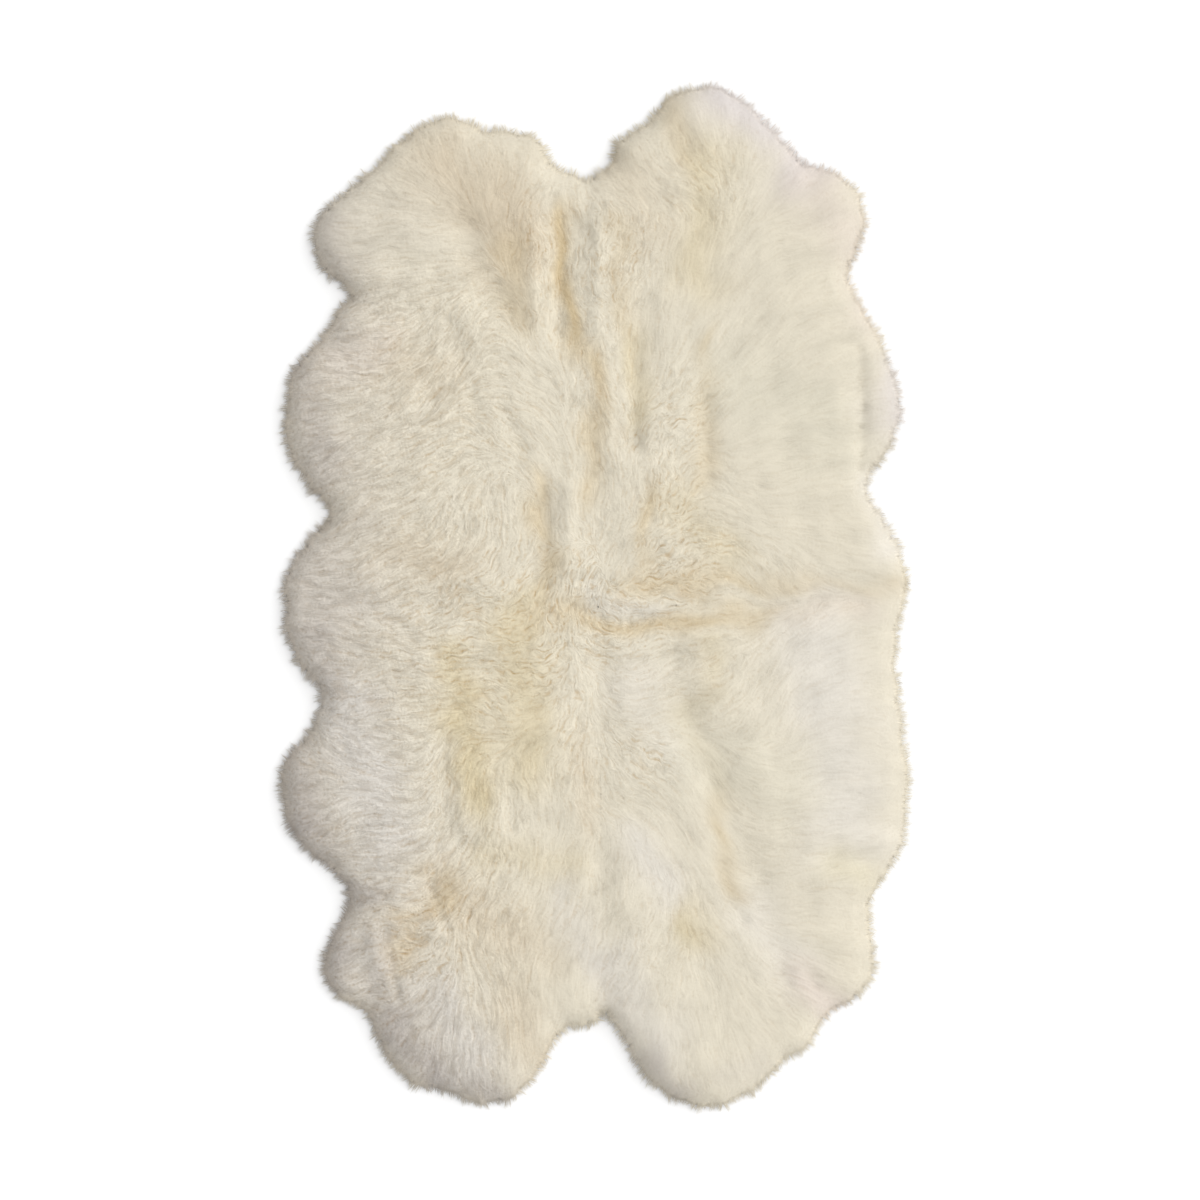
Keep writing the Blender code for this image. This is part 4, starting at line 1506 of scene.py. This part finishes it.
@dataclass
class Undercoat:
    """The body of one pelt's coat: a closed skin with the combed streaks raised in its top.

    The top is a function of u and v, which fill the oblong that the outline fits in. A point lies on the
    ray from the pelt's middle towards (u, v). With s the share of the way from there to the oblong's side
    at (u, v), r the distance to the outline and e that distance evened out over its neighbours, the point
    is at s e + s^3 (r - e). So the grid is even inside, and only its rim takes up the lobes and notches.

    Attributes:
        spacing: The distance between neighbouring points.
        rays: How many rays find the outline.
        softened: Over how many rays the rim is evened, so that no notch's side runs along a ray.
        corner: How far that evening leaves the corners standing out.
        evened: Over how many rays the inner part evens the outline out.
        lap: How far its edge runs past the pelt's, into its neighbour's.
        base: The height of its flat underside, just above the hide.
        least: Its least thickness.
        stride: The step of the finish's longest lines in straight and in curly wool.
        bend: How far the swells bend those lines in straight and in curly wool.
    """

    wool: Wool
    quarter: Quarter
    spacing: float = 3.2 * MM
    rays: int = 720
    softened: float = 1.4
    corner: float = 5 * MM
    evened: float = 24.0
    lap: float = 1.5 * MM
    base: float = 2.3 * MM
    least: float = 1 * MM
    stride: tuple[float, float] = (4.5 * MM, 2.0 * MM)
    bend: tuple[float, float] = (5 * MM, 17 * MM)

    def build(self) -> bpy.types.Object:
        """Makes the skin: the top's grid, a wall down from its edge, and a flat underside.

        Returns:
            The piece.
        """
        middle = self.quarter.middle
        flat = self._flat()
        rows, columns = flat.shape[:2]
        points = flat.reshape(-1, 2)
        top = np.maximum(self.wool.top(points), self.base + self.least)
        ring = self._ring(rows, columns)
        edge = points[ring]
        base = np.full((len(ring), 1), self.base)
        vertices = np.concatenate([
            np.column_stack([points, top]),
            np.hstack([edge, base]),
            np.hstack([(edge + middle) / 2, base]),
            [np.append(middle, self.base)],
        ])
        faces = self._faces(rows, columns, ring)
        piece = mesh_object(f"undercoat_{self.quarter.label}", vertices, faces)
        normals = np.tile([0.0, 0.0, -1.0], (len(vertices), 1))
        normals[: len(points)] = self.wool.top_normals(points)
        piece.data.normals_split_custom_set_from_vertices(normals)
        give(piece, "tint", Layer.COLOUR, self.wool.tint(vertices, 1.0))
        comb = self.wool.comb
        curl = comb.curl.at(vertices)
        lay = comb.heading.at(vertices) * between(self.stride, curl)[:, None]
        give(piece, "lay", Layer.VECTOR, np.column_stack([lay, np.zeros(len(lay))]))
        give(piece, "grain", Layer.NUMBER, comb.grain.at(vertices))
        give(piece, "parting_and_shade", Layer.NUMBER, comb.parting_and_shade.at(vertices))
        give(piece, "bend", Layer.NUMBER, between(self.bend, curl))
        self.wool.dress(piece, self.quarter, self.wool.undercoat_material)
        return piece

    def _flat(self) -> Array:
        """The top's points as seen from above, as rows by columns by two."""
        middle = self.quarter.middle
        edge = self.wool.coat.outline(self.quarter, self.rays) - middle
        low, high = edge.min(axis=0), edge.max(axis=0)
        columns, rows = ((high - low) / self.spacing).astype(int) + 1
        u, v = np.meshgrid(np.linspace(low[0], high[0], columns), np.linspace(low[1], high[1], rows))
        turn = np.arctan2(v, u)
        turns = np.arctan2(edge[:, 1], edge[:, 0])
        reach = np.linalg.norm(edge, axis=1)
        soft = self._even(reach, self.softened)
        reach = soft + np.clip(reach - soft, 0, self.corner) + self.lap
        even = self._even(reach, self.evened)
        share = np.max([u / low[0], u / high[0], v / low[1], v / high[1]], axis=0)
        out = share * np.interp(turn, turns, even, period=2 * math.pi)
        out += share ** 3 * np.interp(turn, turns, reach - even, period=2 * math.pi)
        return middle + np.stack([out * np.cos(turn), out * np.sin(turn)], axis=-1)

    @staticmethod
    def _even(reach: Array, rays: float) -> Array:
        """Evens the distances out by a Gaussian bell with that many rays as its deviation."""
        kept = np.exp(-2 * (math.pi * rays * np.fft.rfftfreq(len(reach))) ** 2)
        return np.fft.irfft(np.fft.rfft(reach) * kept, len(reach))

    @staticmethod
    def _ring(rows: int, columns: int) -> Array:
        """The numbers of the grid's edge points, anticlockwise from its low corner."""
        number = np.arange(rows * columns).reshape(rows, columns)
        return np.concatenate([number[0, :-1], number[:-1, -1], number[-1, :0:-1], number[:0:-1, 0]])

    @staticmethod
    def _faces(rows: int, columns: int, ring: Array) -> Array:
        """Joins the grid's points, its edge to the base's, and that in two rings to the middle.

        Args:
            rows: The grid's rows.
            columns: The grid's columns.
            ring: The grid's edge.

        Returns:
            The triangles' corners, anticlockwise from outside.
        """
        number = np.arange(rows * columns).reshape(rows, columns)
        a, b, c, d = number[:-1, :-1], number[:-1, 1:], number[1:, 1:], number[1:, :-1]
        top = np.stack([np.stack([a, b, c], axis=-1), np.stack([a, c, d], axis=-1)]).reshape(-1, 3)
        count = len(ring)
        base = rows * columns + np.arange(count)
        inner = base + count
        bands = []
        for upper, lower in ((ring, base), (base, inner)):
            after, under = np.roll(upper, -1), np.roll(lower, -1)
            bands += [np.column_stack([lower, under, after]), np.column_stack([lower, after, upper])]
        centre = np.full(count, rows * columns + 2 * count)
        fan = np.column_stack([inner, centre, np.roll(inner, -1)])
        return np.concatenate([top, *bands, fan])


@dataclass
class Fleece:
    """The long combed wool on top of one pelt: staples of strands that lie with the comb.

    Attributes:
        pitch: The distance between neighbouring staples.
        strands: Strands in a staple.
        length: The length of a staple in straight and in curly wool.
        width: A strand's full width.
        spread: The distance between a staple's strands at its root.
        gather: How far the strands draw together at the staple's point.
        crimp: The swing of the waves, in radians, in straight and in curly wool.
        wave: The length of a wave in straight and in curly wool.
        arch: The height of the Bezier point that lifts a strand's middle.
        root_depth: How deep the roots lie.
        tip_height: How high the points lie.
        lean: The deviation of a staple's own turn from the comb, in straight and in curly wool.
        moved: How far a root may be moved each way, as a share of the pitch.
        slide: How far a strand may slide along its staple.
        least_height: How high over the floor the wool lies at least.
        fine: Steps of the walk with the comb between two rings.
    """

    wool: Wool
    quarter: Quarter
    form: StrandForm = field(default_factory=StrandForm)
    pitch: float = 17.6 * MM
    strands: int = 3
    length: tuple[float, float] = (44 * MM, 26 * MM)
    width: float = 1.3 * MM
    spread: float = 4.5 * MM
    gather: float = 0.35
    crimp: tuple[float, float] = (0.22, 1.00)
    wave: tuple[float, float] = (44 * MM, 22 * MM)
    arch: float = 0.7 * MM
    root_depth: float = 1.0 * MM
    tip_height: float = 0.4 * MM
    lean: tuple[float, float] = (0.10, 0.60)
    moved: float = 0.4
    slide: float = 4 * MM
    least_height: float = 2 * MM
    fine: int = 3

    def build(self) -> bpy.types.Object:
        """Roots the staples, lays them along the comb and sweeps their strands.

        Returns:
            The piece.
        """
        rng = np.random.default_rng(Seed.FLEECE + list(Quarter).index(self.quarter))
        roots = self._roots(rng)
        centre, across = self._staples(roots, rng)
        paths, normals = self._strands(centre, across, rng)
        width = self.width * rng.uniform(0.75, 1.25, len(paths))
        piece = self.form.build(f"fleece_{self.quarter.label}", paths, normals, width)
        self.wool.dye_strands(piece, self.form, rng)
        self.wool.dress(piece, self.quarter, self.wool.strand_material)
        return piece

    def _roots(self, rng: np.random.Generator) -> Array:
        """Roots on a hexagonal grid, each moved at random, and fewer of them where the wool is sleek.

        Args:
            rng: The random numbers.

        Returns:
            The roots inside the pelt.
        """
        grid = self.wool.coat.heights
        rows, columns = grid.values.shape
        across = np.arange(0, columns * grid.step, self.pitch)
        along = np.arange(0, rows * grid.step, self.pitch * math.sqrt(3) / 2)
        x, y = np.meshgrid(across, along)
        x[1::2] += self.pitch / 2
        roots = np.stack([x, y], axis=-1).reshape(-1, 2) + np.array(grid.low)
        roots += rng.uniform(-self.moved, self.moved, roots.shape) * self.pitch
        roots = roots[self.wool.coat.pelts[self.quarter].at(roots) > 0.5]
        return roots[rng.random(len(roots)) < 0.4 + 0.6 * self.wool.comb.grain.at(roots)]

    def _staples(self, roots: Array, rng: np.random.Generator) -> tuple[Array, Array]:
        """Lays one line for each staple: each step goes on with the comb, turned by a wave.

        The turn at distance s is crimp times cos(2 pi s / wave + start). A staple that would run past the
        rim is shortened to end where the cover falls to its own small share.

        Args:
            roots: The staples' roots.
            rng: The random numbers.

        Returns:
            The lines' points, and the horizontal direction across them, at each ring.
        """
        count = len(roots)
        curl = self.wool.comb.curl.at(roots)
        length = between(self.length, curl) * rng.uniform(0.75, 1.2, count)
        swing = between(self.crimp, curl) * rng.uniform(0.6, 1.3, count)
        start = rng.uniform(0, 2 * math.pi, count)
        lean = rng.normal(0, 1, count) * between(self.lean, curl)
        wave = between(self.wave, curl) * rng.uniform(0.8, 1.3, count)
        ends_at = rng.uniform(0.02, 0.35, count)
        steps = self.form.segments * self.fine
        line = self._follow(roots, length / steps, steps, swing, start, wave, lean)
        cover = self.wool.coat.cover.at(line)
        inside = np.cumprod(cover > ends_at[:, None], axis=1).sum(axis=1)
        kept = np.clip(inside / (steps + 1), 0.3, 1)
        line = self._follow(roots, length * kept / steps, steps, swing, start, wave, lean)
        run = unit(np.gradient(line, axis=1))
        across = np.stack([run[..., 1], -run[..., 0]], axis=-1)
        return line[:, :: self.fine], across[:, :: self.fine]

    def _follow(
        self, roots: Array, step: Array, steps: int, swing: Array, start: Array, wave: Array, lean: Array
    ) -> Array:
        """Walks from each root with the comb.

        Args:
            roots: Where the walks start.
            step: The length of each walk's steps.
            steps: How many steps a walk has.
            swing: The waves' swing, in radians.
            start: The waves' phase at the root.
            wave: The waves' length.
            lean: Each walk's own turn from the comb, in radians.

        Returns:
            The places along each walk, roots by steps by two.
        """
        places = [roots]
        for number in range(steps):
            heading = self.wool.comb.heading.at(places[-1])
            turn = lean + swing * np.cos(2 * math.pi * step * number / wave + start)
            places.append(places[-1] + unit(turned(heading, turn)) * step[:, None])
        return np.stack(places, axis=1)

    def _strands(self, centre: Array, across: Array, rng: np.random.Generator) -> tuple[Array, Array]:
        """Spreads each staple's line into its strands and lifts them onto the coat.

        A strand's height over the coat is a Bezier curve from minus the root's depth by the arch to the
        point's height.

        Args:
            centre: The staples' lines.
            across: The direction across them.
            rng: The random numbers.

        Returns:
            The strands' paths, and the coat's upward direction along them.
        """
        count, rings = centre.shape[:2]
        reach = self.form.reach()
        seats = np.arange(self.strands) - (self.strands - 1) / 2
        seats = seats[None, :] + rng.uniform(-0.35, 0.35, (count, self.strands))
        offset = seats[:, :, None] * self.spread * (1 - self.gather * reach)
        flat = centre[:, None] + across[:, None] * offset[..., None]
        slide = rng.uniform(-self.slide, self.slide, (count, self.strands))[:, :, None, None]
        flat = flat + slide * unit(np.gradient(centre, axis=1))[:, None]
        flat = flat.reshape(-1, rings, 2)
        rise = rng.uniform(0.4, 1.3, (len(flat), 1)) * self.wool.comb.grain.at(flat)
        lift = (
            -self.root_depth * (1 - reach) ** 2 + 2 * reach * (1 - reach) * self.arch * rise
            + self.tip_height * rise * reach ** 2
        )
        body = self.wool.top(flat)
        height = np.maximum(body + lift * np.clip(body / (20 * MM), 0.25, 1), self.least_height)
        return np.concatenate([flat, height[..., None]], axis=-1), self.wool.top_normals(flat)


@dataclass
class Rim:
    """The tufts all round one pelt's free edge: strands that fall over it and draw to soft points.

    Attributes:
        pitch: The distance between neighbouring tufts.
        strands: Strands in a tuft.
        width: A strand's full width.
        root_in: How far inside the edge the roots lie.
        reach_out: How far past the edge the points reach.
        gather: How much of their distance apart the strands lose towards the point.
        splay: How far a tuft turns from the way out, in radians.
        stray: How far a strand's point strays from the tuft's.
        comb_share: How far the comb draws the tufts its way.
        tip_height: How high over the floor the points lie.
        lift: How high over the coat the strands come.
        root_depth: How deep the roots lie in it.
        tip_painted_light: How much paler than the coat the strands get towards their points: painted light
            that stands in for the light coming through them and offsets the shade among them.
        free: The cover under which the outline is a free edge and not a seam.
        rays: How many rays find the outline.
    """

    wool: Wool
    quarter: Quarter
    form: StrandForm = field(
        default_factory=lambda: StrandForm(thickness=0.13, root_width=0.6, taper=1.25, level_normals=0.96)
    )
    pitch: float = 5.5 * MM
    strands: int = 10
    width: float = 2.1 * MM
    root_in: tuple[float, float] = (4 * MM, 30 * MM)
    reach_out: tuple[float, float] = (6 * MM, 25 * MM)
    gather: float = 0.5
    splay: float = 0.32
    stray: float = 2.2 * MM
    comb_share: float = 0.5
    tip_height: tuple[float, float] = (1.0 * MM, 8 * MM)
    lift: float = 1.2 * MM
    root_depth: float = 0.8 * MM
    tip_painted_light: float = 0.24
    free: float = 0.75
    rays: int = 2880

    def build(self) -> bpy.types.Object:
        """Places the tufts along the edge and sweeps their strands.

        Returns:
            The piece.
        """
        rng = np.random.default_rng(Seed.RIM + list(Quarter).index(self.quarter))
        seats = self._seats(rng)
        out = self._ways_out(seats, rng)
        paths, within = self._paths(seats, out, rng)
        normals = self.wool.top_normals(within)
        width = self.width * rng.uniform(0.5, 1.1, len(paths))
        piece = self.form.build(f"rim_{self.quarter.label}", paths, normals, width)
        self.wool.dye_strands(piece, self.form, rng, self.tip_painted_light)
        self.wool.dress(piece, self.quarter, self.wool.strand_material)
        return piece

    def _seats(self, rng: np.random.Generator) -> Array:
        """Points at even distances along the free edge, each moved at random by up to a third of one.

        Args:
            rng: The random numbers.

        Returns:
            The tufts' places.
        """
        edge = self.wool.coat.outline(self.quarter, self.rays)
        around = np.append(0, np.cumsum(np.linalg.norm(np.diff(edge, axis=0, append=edge[:1]), axis=1)))
        edge = np.vstack([edge, edge[:1]])
        at = np.arange(0, around[-1] - self.pitch / 2, self.pitch)
        at = at + rng.uniform(-0.33, 0.33, len(at)) * self.pitch
        seats = np.column_stack([np.interp(at, around, edge[:, axis]) for axis in range(2)])
        return seats[self.wool.coat.cover.at(seats) < self.free]

    def _ways_out(self, seats: Array, rng: np.random.Generator) -> Array:
        """The direction of each tuft: down the slope of the cover, drawn to the comb and splayed.

        Args:
            seats: The tufts' places.
            rng: The random numbers.

        Returns:
            One flat direction for each tuft.
        """
        out = -unit(self.wool.coat.cover.slope().at(seats))
        heading = self.wool.comb.heading.at(seats)
        along = np.clip((heading * out).sum(axis=1, keepdims=True), 0, 1)
        drawn = unit(out + self.comb_share * along * heading)
        return turned(drawn, rng.normal(0, self.splay, len(seats)))

    def _paths(self, seats: Array, out: Array, rng: np.random.Generator) -> tuple[Array, Array]:
        """One quadratic Bezier curve for each strand, from its root over the edge down to its point.

        Its middle Bezier point lies 2 mm inside the edge. The strand's height is the coat's or, if more,
        that of an arc from the root's height to the point's: edge + (root - edge) (1 - s)^3 +
        (point - edge) s^2, with s the share of the strand's length. Its shading follows the coat from the
        root to 6 mm inside the edge and stays so past it.

        Args:
            seats: The tufts' places.
            out: Their directions.
            rng: The random numbers.

        Returns:
            The strands' points, strands by rings by three, and the places just inside the edge whose
            slope they carry on.
        """
        shape = (len(seats), self.strands)
        across = np.stack([-out[:, 1], out[:, 0]], axis=-1)[:, None]
        offset = np.linspace(-0.8, 0.8, self.strands) * self.pitch * rng.uniform(0.7, 1.1, shape)
        inward = rng.uniform(*self.root_in, shape)
        longest = rng.uniform(0.2, 1.0, (len(seats), 1))
        outward = between(self.reach_out, longest) * (1 - 0.5 * np.abs(offset) / self.pitch)
        outward = outward * rng.uniform(0.7, 1.0, shape)
        ahead = out[:, None]
        root = seats[:, None] - ahead * inward[..., None] + across * offset[..., None]
        drawn = offset * (1 - self.gather) + rng.normal(0, self.stray, shape)
        point = seats[:, None] + ahead * outward[..., None] + across * drawn[..., None]
        middle = seats[:, None] - ahead * 2 * MM + across * (offset * 0.8)[..., None]
        reach = self.form.reach()[None, :, None]
        ends = [flat.reshape(-1, 1, 2) for flat in (root, middle, point)]
        flat = ends[0] * (1 - reach) ** 2 + ends[1] * 2 * reach * (1 - reach) + ends[2] * reach ** 2
        rise = reach[..., 0]
        high, edge = (self.wool.top(end) for end in ends[:2])
        tip = rng.uniform(*self.tip_height, (len(flat), 1))
        arc = edge + (high - edge) * (1 - rise) ** 3 + (tip - edge) * rise ** 2
        lift = self.lift * rise * rng.uniform(0.3, 1.3, (len(flat), 1)) - self.root_depth * (1 - rise) ** 2
        height = np.maximum(self.wool.top(flat), arc) + lift
        inner = ends[1] - np.repeat(out, self.strands, axis=0)[:, None] * 4 * MM
        within = ends[0] + (inner - ends[0]) * np.clip(2 * reach, 0, 1)
        return np.concatenate([flat, height[..., None]], axis=-1), within


@dataclass
class Hide:
    """One pelt's tanned skin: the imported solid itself, in suede, which lies flat as it was cut."""

    quarter: Quarter
    suede: bpy.types.Material

    def dress(self) -> None:
        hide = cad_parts[f"hide_{self.quarter.label}"]
        hide.data.materials.clear()
        hide.data.materials.append(self.suede)
        places = mesh_points(hide)
        areas = np.empty(len(hide.data.polygons), np.float32)
        hide.data.polygons.foreach_get("area", areas)


@dataclass
class Stitches:
    """The zigzag stitches that join two neighbouring hides edge to edge, on their underside.

    Attributes:
        pair: The two pelts.
        thread: The thread's material.
        step: How far a stitch gets along the seam.
        bite: How far from the seam the needle goes in.
        radius: The thread's radius.
        heights: The height of a stitch's middle line at its start, its middle and its end.
        sides: The sides of the thread.
        meets: How near the two hides lie at most along their seam.
    """

    pair: tuple[Quarter, Quarter]
    thread: bpy.types.Material
    step: float = 3.2 * MM
    bite: float = 2.4 * MM
    radius: float = 0.32 * MM
    heights: tuple[float, float, float] = (0.3 * MM, 0.1 * MM, 0.3 * MM)
    sides: int = 5
    meets: float = 1 * MM

    def build(self) -> bpy.types.Object:
        """Sews the seam with one short rod for each stitch, whose ends sink in the hide.

        Returns:
            The piece.
        """
        turns = self._turns()
        starts, ends = turns[:-1], turns[1:]
        run = unit(ends - starts)
        middle = np.stack([starts, (starts + ends) / 2, ends], axis=1)
        heights = np.tile(np.array(self.heights)[None, :, None], (len(starts), 1, 1))
        middle = np.concatenate([middle, heights], axis=2)
        across = np.column_stack([-run[:, 1], run[:, 0], np.zeros(len(run))])[:, None]
        angle = (2 * math.pi * np.arange(self.sides) / self.sides)[:, None]
        circle = np.cos(angle) * across + np.sin(angle) * np.array([0.0, 0.0, 1.0])
        vertices = (middle[:, :, None] + self.radius * circle[:, None]).reshape(-1, 3)
        label = "_".join(quarter.label for quarter in self.pair)
        piece = mesh_object(f"stitches_{label}", vertices, self._faces(len(starts)))
        piece.data.materials.append(self.thread)
        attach(piece, BODY)
        log.info("%s: %d faces", piece.name, len(piece.data.polygons))
        return piece

    def _turns(self) -> Array:
        """The points where the thread goes in, at even distances and on either side in turn.

        The seam's line is where the first hide's edge lies near the second's, to a tenth of a millimetre.

        Returns:
            The points, as seen from above.
        """
        first, second = (self._underside(quarter) for quarter in self.pair)
        apart = np.linalg.norm(first[:, None] - second[None], axis=2).min(axis=1)
        line = np.unique(np.round(first[apart < self.meets], 4), axis=0)
        line = line[np.argsort(line[:, np.ptp(line, axis=0).argmax()])]
        along = np.append(0, np.cumsum(np.linalg.norm(np.diff(line, axis=0), axis=1)))
        at = np.arange(self.step / 2, along[-1] - self.step / 2, self.step)
        flat = np.column_stack([np.interp(at, along, line[:, axis]) for axis in range(2)])
        run = unit(np.gradient(flat, axis=0))
        side = self.bite * (-1.0) ** np.arange(len(flat))
        return flat + np.column_stack([-run[:, 1], run[:, 0]]) * side[:, None]

    @staticmethod
    def _underside(quarter: Quarter) -> Array:
        """The points of a hide's underside, as seen from above."""
        places = mesh_points(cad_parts[f"hide_{quarter.label}"])
        return places[places[:, 2] < 0.1 * MM, :2]

    def _faces(self, count: int) -> Array:
        """The rods' triangles: two bands round each, and a cap at either end.

        Args:
            count: The number of stitches.

        Returns:
            The triangles' corners, anticlockwise from outside.
        """
        side = np.arange(self.sides)
        after = np.roll(side, -1)
        bands = []
        for near, far in ((0, self.sides), (self.sides, 2 * self.sides)):
            bands += [np.column_stack([near + side, near + after, far + after])]
            bands += [np.column_stack([near + side, far + after, far + side])]
        last = 2 * self.sides
        inner = side[1:-1]
        caps = [
            np.column_stack([np.zeros_like(inner), inner + 1, inner]),
            last + np.column_stack([np.zeros_like(inner), inner, inner + 1]),
        ]
        rod = np.concatenate([*bands, *caps])
        return (rod[None] + 3 * self.sides * np.arange(count)[:, None, None]).reshape(-1, 3)


@dataclass
class Studio:
    """The white floor, the soft light from the right and the camera straight above the rug.

    Attributes:
        lens: The camera's lens, in millimetres.
        sensor: The camera's sensor, in millimetres.
        floor_side: The floor's side.
        floor_drop: How far the floor lies under the rug.
        key: The strength of the key light.
        key_from: The direction from the rug to the key light.
        key_size_deg: The key light's apparent size.
        sky: The strength of the even light from all sides.
    """

    lens: float = 85.0
    sensor: float = 36.0
    floor_side: float = 30.0
    floor_drop: float = 0.2 * MM
    key: float = 2.1
    key_from: tuple[float, float, float] = (1.0, 0.35, 0.85)
    key_size_deg: float = 60.0
    sky: float = 0.78

    def build(self) -> None:
        """Makes the floor, the lights and the camera."""
        self._floor()
        self._lights()
        self._camera()

    def _floor(self) -> None:
        """A wide white square just under the rug."""
        half = self.floor_side / 2
        corners = np.array([(-half, -half, 0), (half, -half, 0), (half, half, 0), (-half, half, 0)])
        corners[:, 2] = -self.floor_drop
        floor = mesh_object("floor", corners, np.array([[0, 1, 2, 3]]))
        floor.data.materials.append(FloorFinish().material())

    def _lights(self) -> None:
        """One soft sun from the right, and an even white sky."""
        lamp = bpy.data.lights.new("key", "SUN")
        lamp.energy = self.key
        lamp.angle = math.radians(self.key_size_deg)
        key = bpy.data.objects.new("key", lamp)
        key.rotation_mode = "QUATERNION"
        key.rotation_quaternion = Vector(self.key_from).to_track_quat("Z", "Y")
        bpy.context.scene.collection.objects.link(key)
        world = bpy.data.worlds.new("sky")
        world.use_nodes = True
        background = world.node_tree.nodes["Background"]
        background.inputs["Color"].default_value = (1, 1, 1, 1)
        background.inputs["Strength"].default_value = self.sky
        bpy.context.scene.world = world

    def _camera(self) -> None:
        """A camera whose square view is the photograph's frame at the rug's height."""
        view = PHOTO_SIDE * MM_PER_PIXEL * MM
        data = bpy.data.cameras.new("camera")
        data.lens = self.lens
        data.sensor_width = self.sensor
        camera = bpy.data.objects.new("camera", data)
        camera.location = (PHOTO_CENTRE_MM[0] * MM, PHOTO_CENTRE_MM[1] * MM, view * self.lens / self.sensor)
        bpy.context.scene.collection.objects.link(camera)
        bpy.context.scene.camera = camera
        bpy.context.scene.view_settings.view_transform = "Standard"


def main() -> None:
    """Builds the rug's coat, dresses its hides and sets up the studio."""
    logging.basicConfig(level=logging.INFO, format="%(name)s %(message)s")
    coat = CoatMap()
    log.info("coat read: highest point %.1f mm", coat.heights.values.max() / MM)
    comb = Comb(coat)
    wool = Wool(coat, comb, Dye(coat, comb), WoolFinish())
    suede = SuedeFinish().material()
    for quarter in Quarter:
        Undercoat(wool, quarter).build()
        Fleece(wool, quarter).build()
        Rim(wool, quarter).build()
        Hide(quarter, suede).dress()
    thread = ThreadFinish().material()
    for pair in SEAMS:
        Stitches(pair, thread).build()
    Studio().build()


if __name__ == "__main__":
    main()
